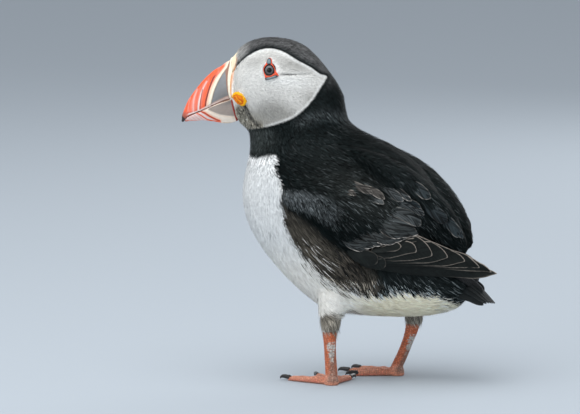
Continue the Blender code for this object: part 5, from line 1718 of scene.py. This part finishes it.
for side, sign in (("left", 1), ("right", -1)):
    primary_form = joined_copy("primary_form", ["primaries_" + side])
    form_points = [v.co.copy() for v in primary_form.data.vertices]
    form_faces = [tuple(p.vertices) for p in primary_form.data.polygons]
    bpy.data.objects.remove(primary_form)
    primary_tree = BVHTree.FromPolygons(form_points, form_faces)
    moved_faces = [tuple(corner + len(outer) for corner in face) for face in form_faces]
    wing_tree = BVHTree.FromPolygons([Vector(v) for v in outer] + form_points, skin_faces + moved_faces)
    shift = np.array(FAR_WING_SHIFT if side == "right" else (0, 0))
    vanes = Vanes()
    for number, (shaft, (upper, lower)) in enumerate(zip(PRIMARIES, PRIMARY_WIDTHS)):
        flat, run = even_rows(np.array(shaft) + shift, 40)
        cover = np.zeros(len(flat))
        for other in PRIMARIES[:number]:
            cover += smoothstep(other[-1][0] + shift[0] - flat[:, 0], -8, -0.5)
        tip_lift = PRIMARY_TIP_LIFTS[number] * smoothstep(run / run[-1], 0.7, 1)
        spine, facing = side_line(flat, sign, primary_tree, 1.5 - 0.40 * cover + tip_lift)
        if upper is None:
            upper = np.clip(height_of(WING_TOP, flat[:, 0] - shift[0]) + shift[1] - flat[:, 1], 2.5, 12.0)
        ramps = (5.0, 5.0) if number == 0 else (15.0, 16.0)
        vanes.add(spine, facing, run, (upper, lower), seed=number, ramps=ramps, edge=(0.34, 1.0, 0.4))
    for number, shaft in enumerate(SECONDARIES):
        flat, run = even_rows(np.array(shaft) + shift, 20)
        rise = np.interp(run / run[-1], [0, 0.25, 0.5, 1], [-3.0, -0.8, 1.2, 2.0])
        spine, facing = side_line(flat, sign, primary_tree, rise - 0.35 * number)
        vanes.add(spine, facing, run, (4.6, 4.4), ramps=(4.5, 4.5), seed=20 + number, edge=(0.3, 0.15, 0.02))
    vanes.finish_piece("primary_feathers_" + side, flight_finish, ["primaries_" + side])

    coverts = Vanes()
    for number, shaft in enumerate(GREAT_COVERTS):
        flat, run = even_rows(shaft, 18)
        rise = 3.1 * smoothstep(run / run[-1], 0, 0.8) - 0.9 - 0.06 * number
        spine, facing = side_line(flat, sign, wing_tree, rise)
        coverts.add(spine, facing, run, (2.6, 2.2), ramps=(6, 7), seed=40 + number, edge=(0.3, 0.0, 0.75),
                    colour=COVERT_BLACK, rim=COVERT_EDGE, slant=3.0)
    coverts.finish_piece("great_coverts_" + side, shoulder_finish, ["wing_" + side])

    shoulder = Vanes()
    for number, (shaft, widths, paleness, colour) in enumerate(SHOULDER_FEATHERS):
        flat, run = even_rows(shaft, 22)
        rise = 2.5 * smoothstep(run / run[-1], 0.1, 0.9) - 1.1
        spine, facing = side_line(flat, sign, outer_tree, rise)
        shoulder.add(spine, facing, run, widths, ramps=(6, 5), seed=60 + number,
                     edge=(0.3, 0.3 * paleness, 0.55 * paleness), colour=colour, rim=SHOULDER_EDGE, slant=3.0)
    shoulder.finish_piece("shoulder_feathers_" + side, shoulder_finish, ["scapulars_" + side])


# ----------------------------------------------------------------
# Tail. Twelve short stiff feathers lie over each other like roof tiles, the middle pair on top.

# The middle pair's height, and how much lower the tail lies TAIL_HALF_WIDTH to either side.
TAIL_TOP = [(150, 72), (160, 69.5), (168, 66), (172, 64.3), (176, 61.6), (180, 58), (184, 53.7), (188, 49), (191, 46)]
TAIL_DROP = [(150, 16), (168, 14), (172, 13), (176, 11), (180, 8.6), (184, 5.6), (188, 2.6), (191, 1.0)]
TAIL_HALF_WIDTH = 16
TAIL_ROOT = 160
TAIL_BLACK, TAIL_EDGE = (0.0060, 0.0088, 0.0096), (0.10, 0.10, 0.10)
# The two feathers over the root of the tail on each side, and their colours.
TAIL_COVERTS = [[(160, 75), (168.9, 72), (173.9, 66.5), (179.0, 59.5)],
                [(162, 70), (168.9, 66), (175.4, 60), (182.6, 53.6)]]
TAIL_COVERT_BLACK, TAIL_COVERT_EDGE = (0.016, 0.017, 0.018), (0.15, 0.155, 0.16)

tail = Vanes()
for number in range(12):
    place = number - 5.5
    rank = abs(place) - 0.5
    tip = 189.6 - 0.55 * rank - 0.12 * rank**2
    back = TAIL_ROOT + (tip - TAIL_ROOT) * (1 - (1 - np.linspace(0, 1, 20)) ** 1.5)
    across = place * np.interp(back, [160, 172, 184, 190], [1.9, 2.5, 2.55, 2.3])
    up = height_of(TAIL_TOP, back) - height_of(TAIL_DROP, back) * (across / TAIL_HALF_WIDTH) ** 2
    up += 0.4 - 0.32 * rank
    spine = np.stack([across * MM, BILL_TIP + back * MM, up * MM], 1)
    steep = -np.gradient(up) / np.gradient(back)
    sideways = 2 * height_of(TAIL_DROP, back) * across / TAIL_HALF_WIDTH**2
    facing = unit(np.stack([sideways, steep, np.ones(20)], 1))
    run = np.concatenate([[0], np.cumsum(np.linalg.norm(np.diff(spine, axis=0), axis=1))]) / MM
    widths = (3.4, 2.4) if place > 0 else (2.4, 3.4)
    tail.add(spine, facing, run, widths, ramps=(5.0, 5.0), seed=80 + number, edge=(0.25, 0.12, 0.12),
             colour=TAIL_BLACK, rim=TAIL_EDGE)
for sign in (1, -1):
    for number, shaft in enumerate(TAIL_COVERTS):
        flat, run = even_rows(shaft, 18)
        spine, facing = side_line(flat, sign, outer_tree, np.full(18, 0.8) + 0.4 * np.linspace(0, 1, 18))
        tail.add(spine, facing, run, (3.0, 3.0), ramps=(4, 4), seed=95 + number, edge=(0.3, 0.5, 0.5),
                 colour=TAIL_COVERT_BLACK, rim=TAIL_COVERT_EDGE)
tail.finish_piece("tail_feathers", flight_finish, ["tail"])
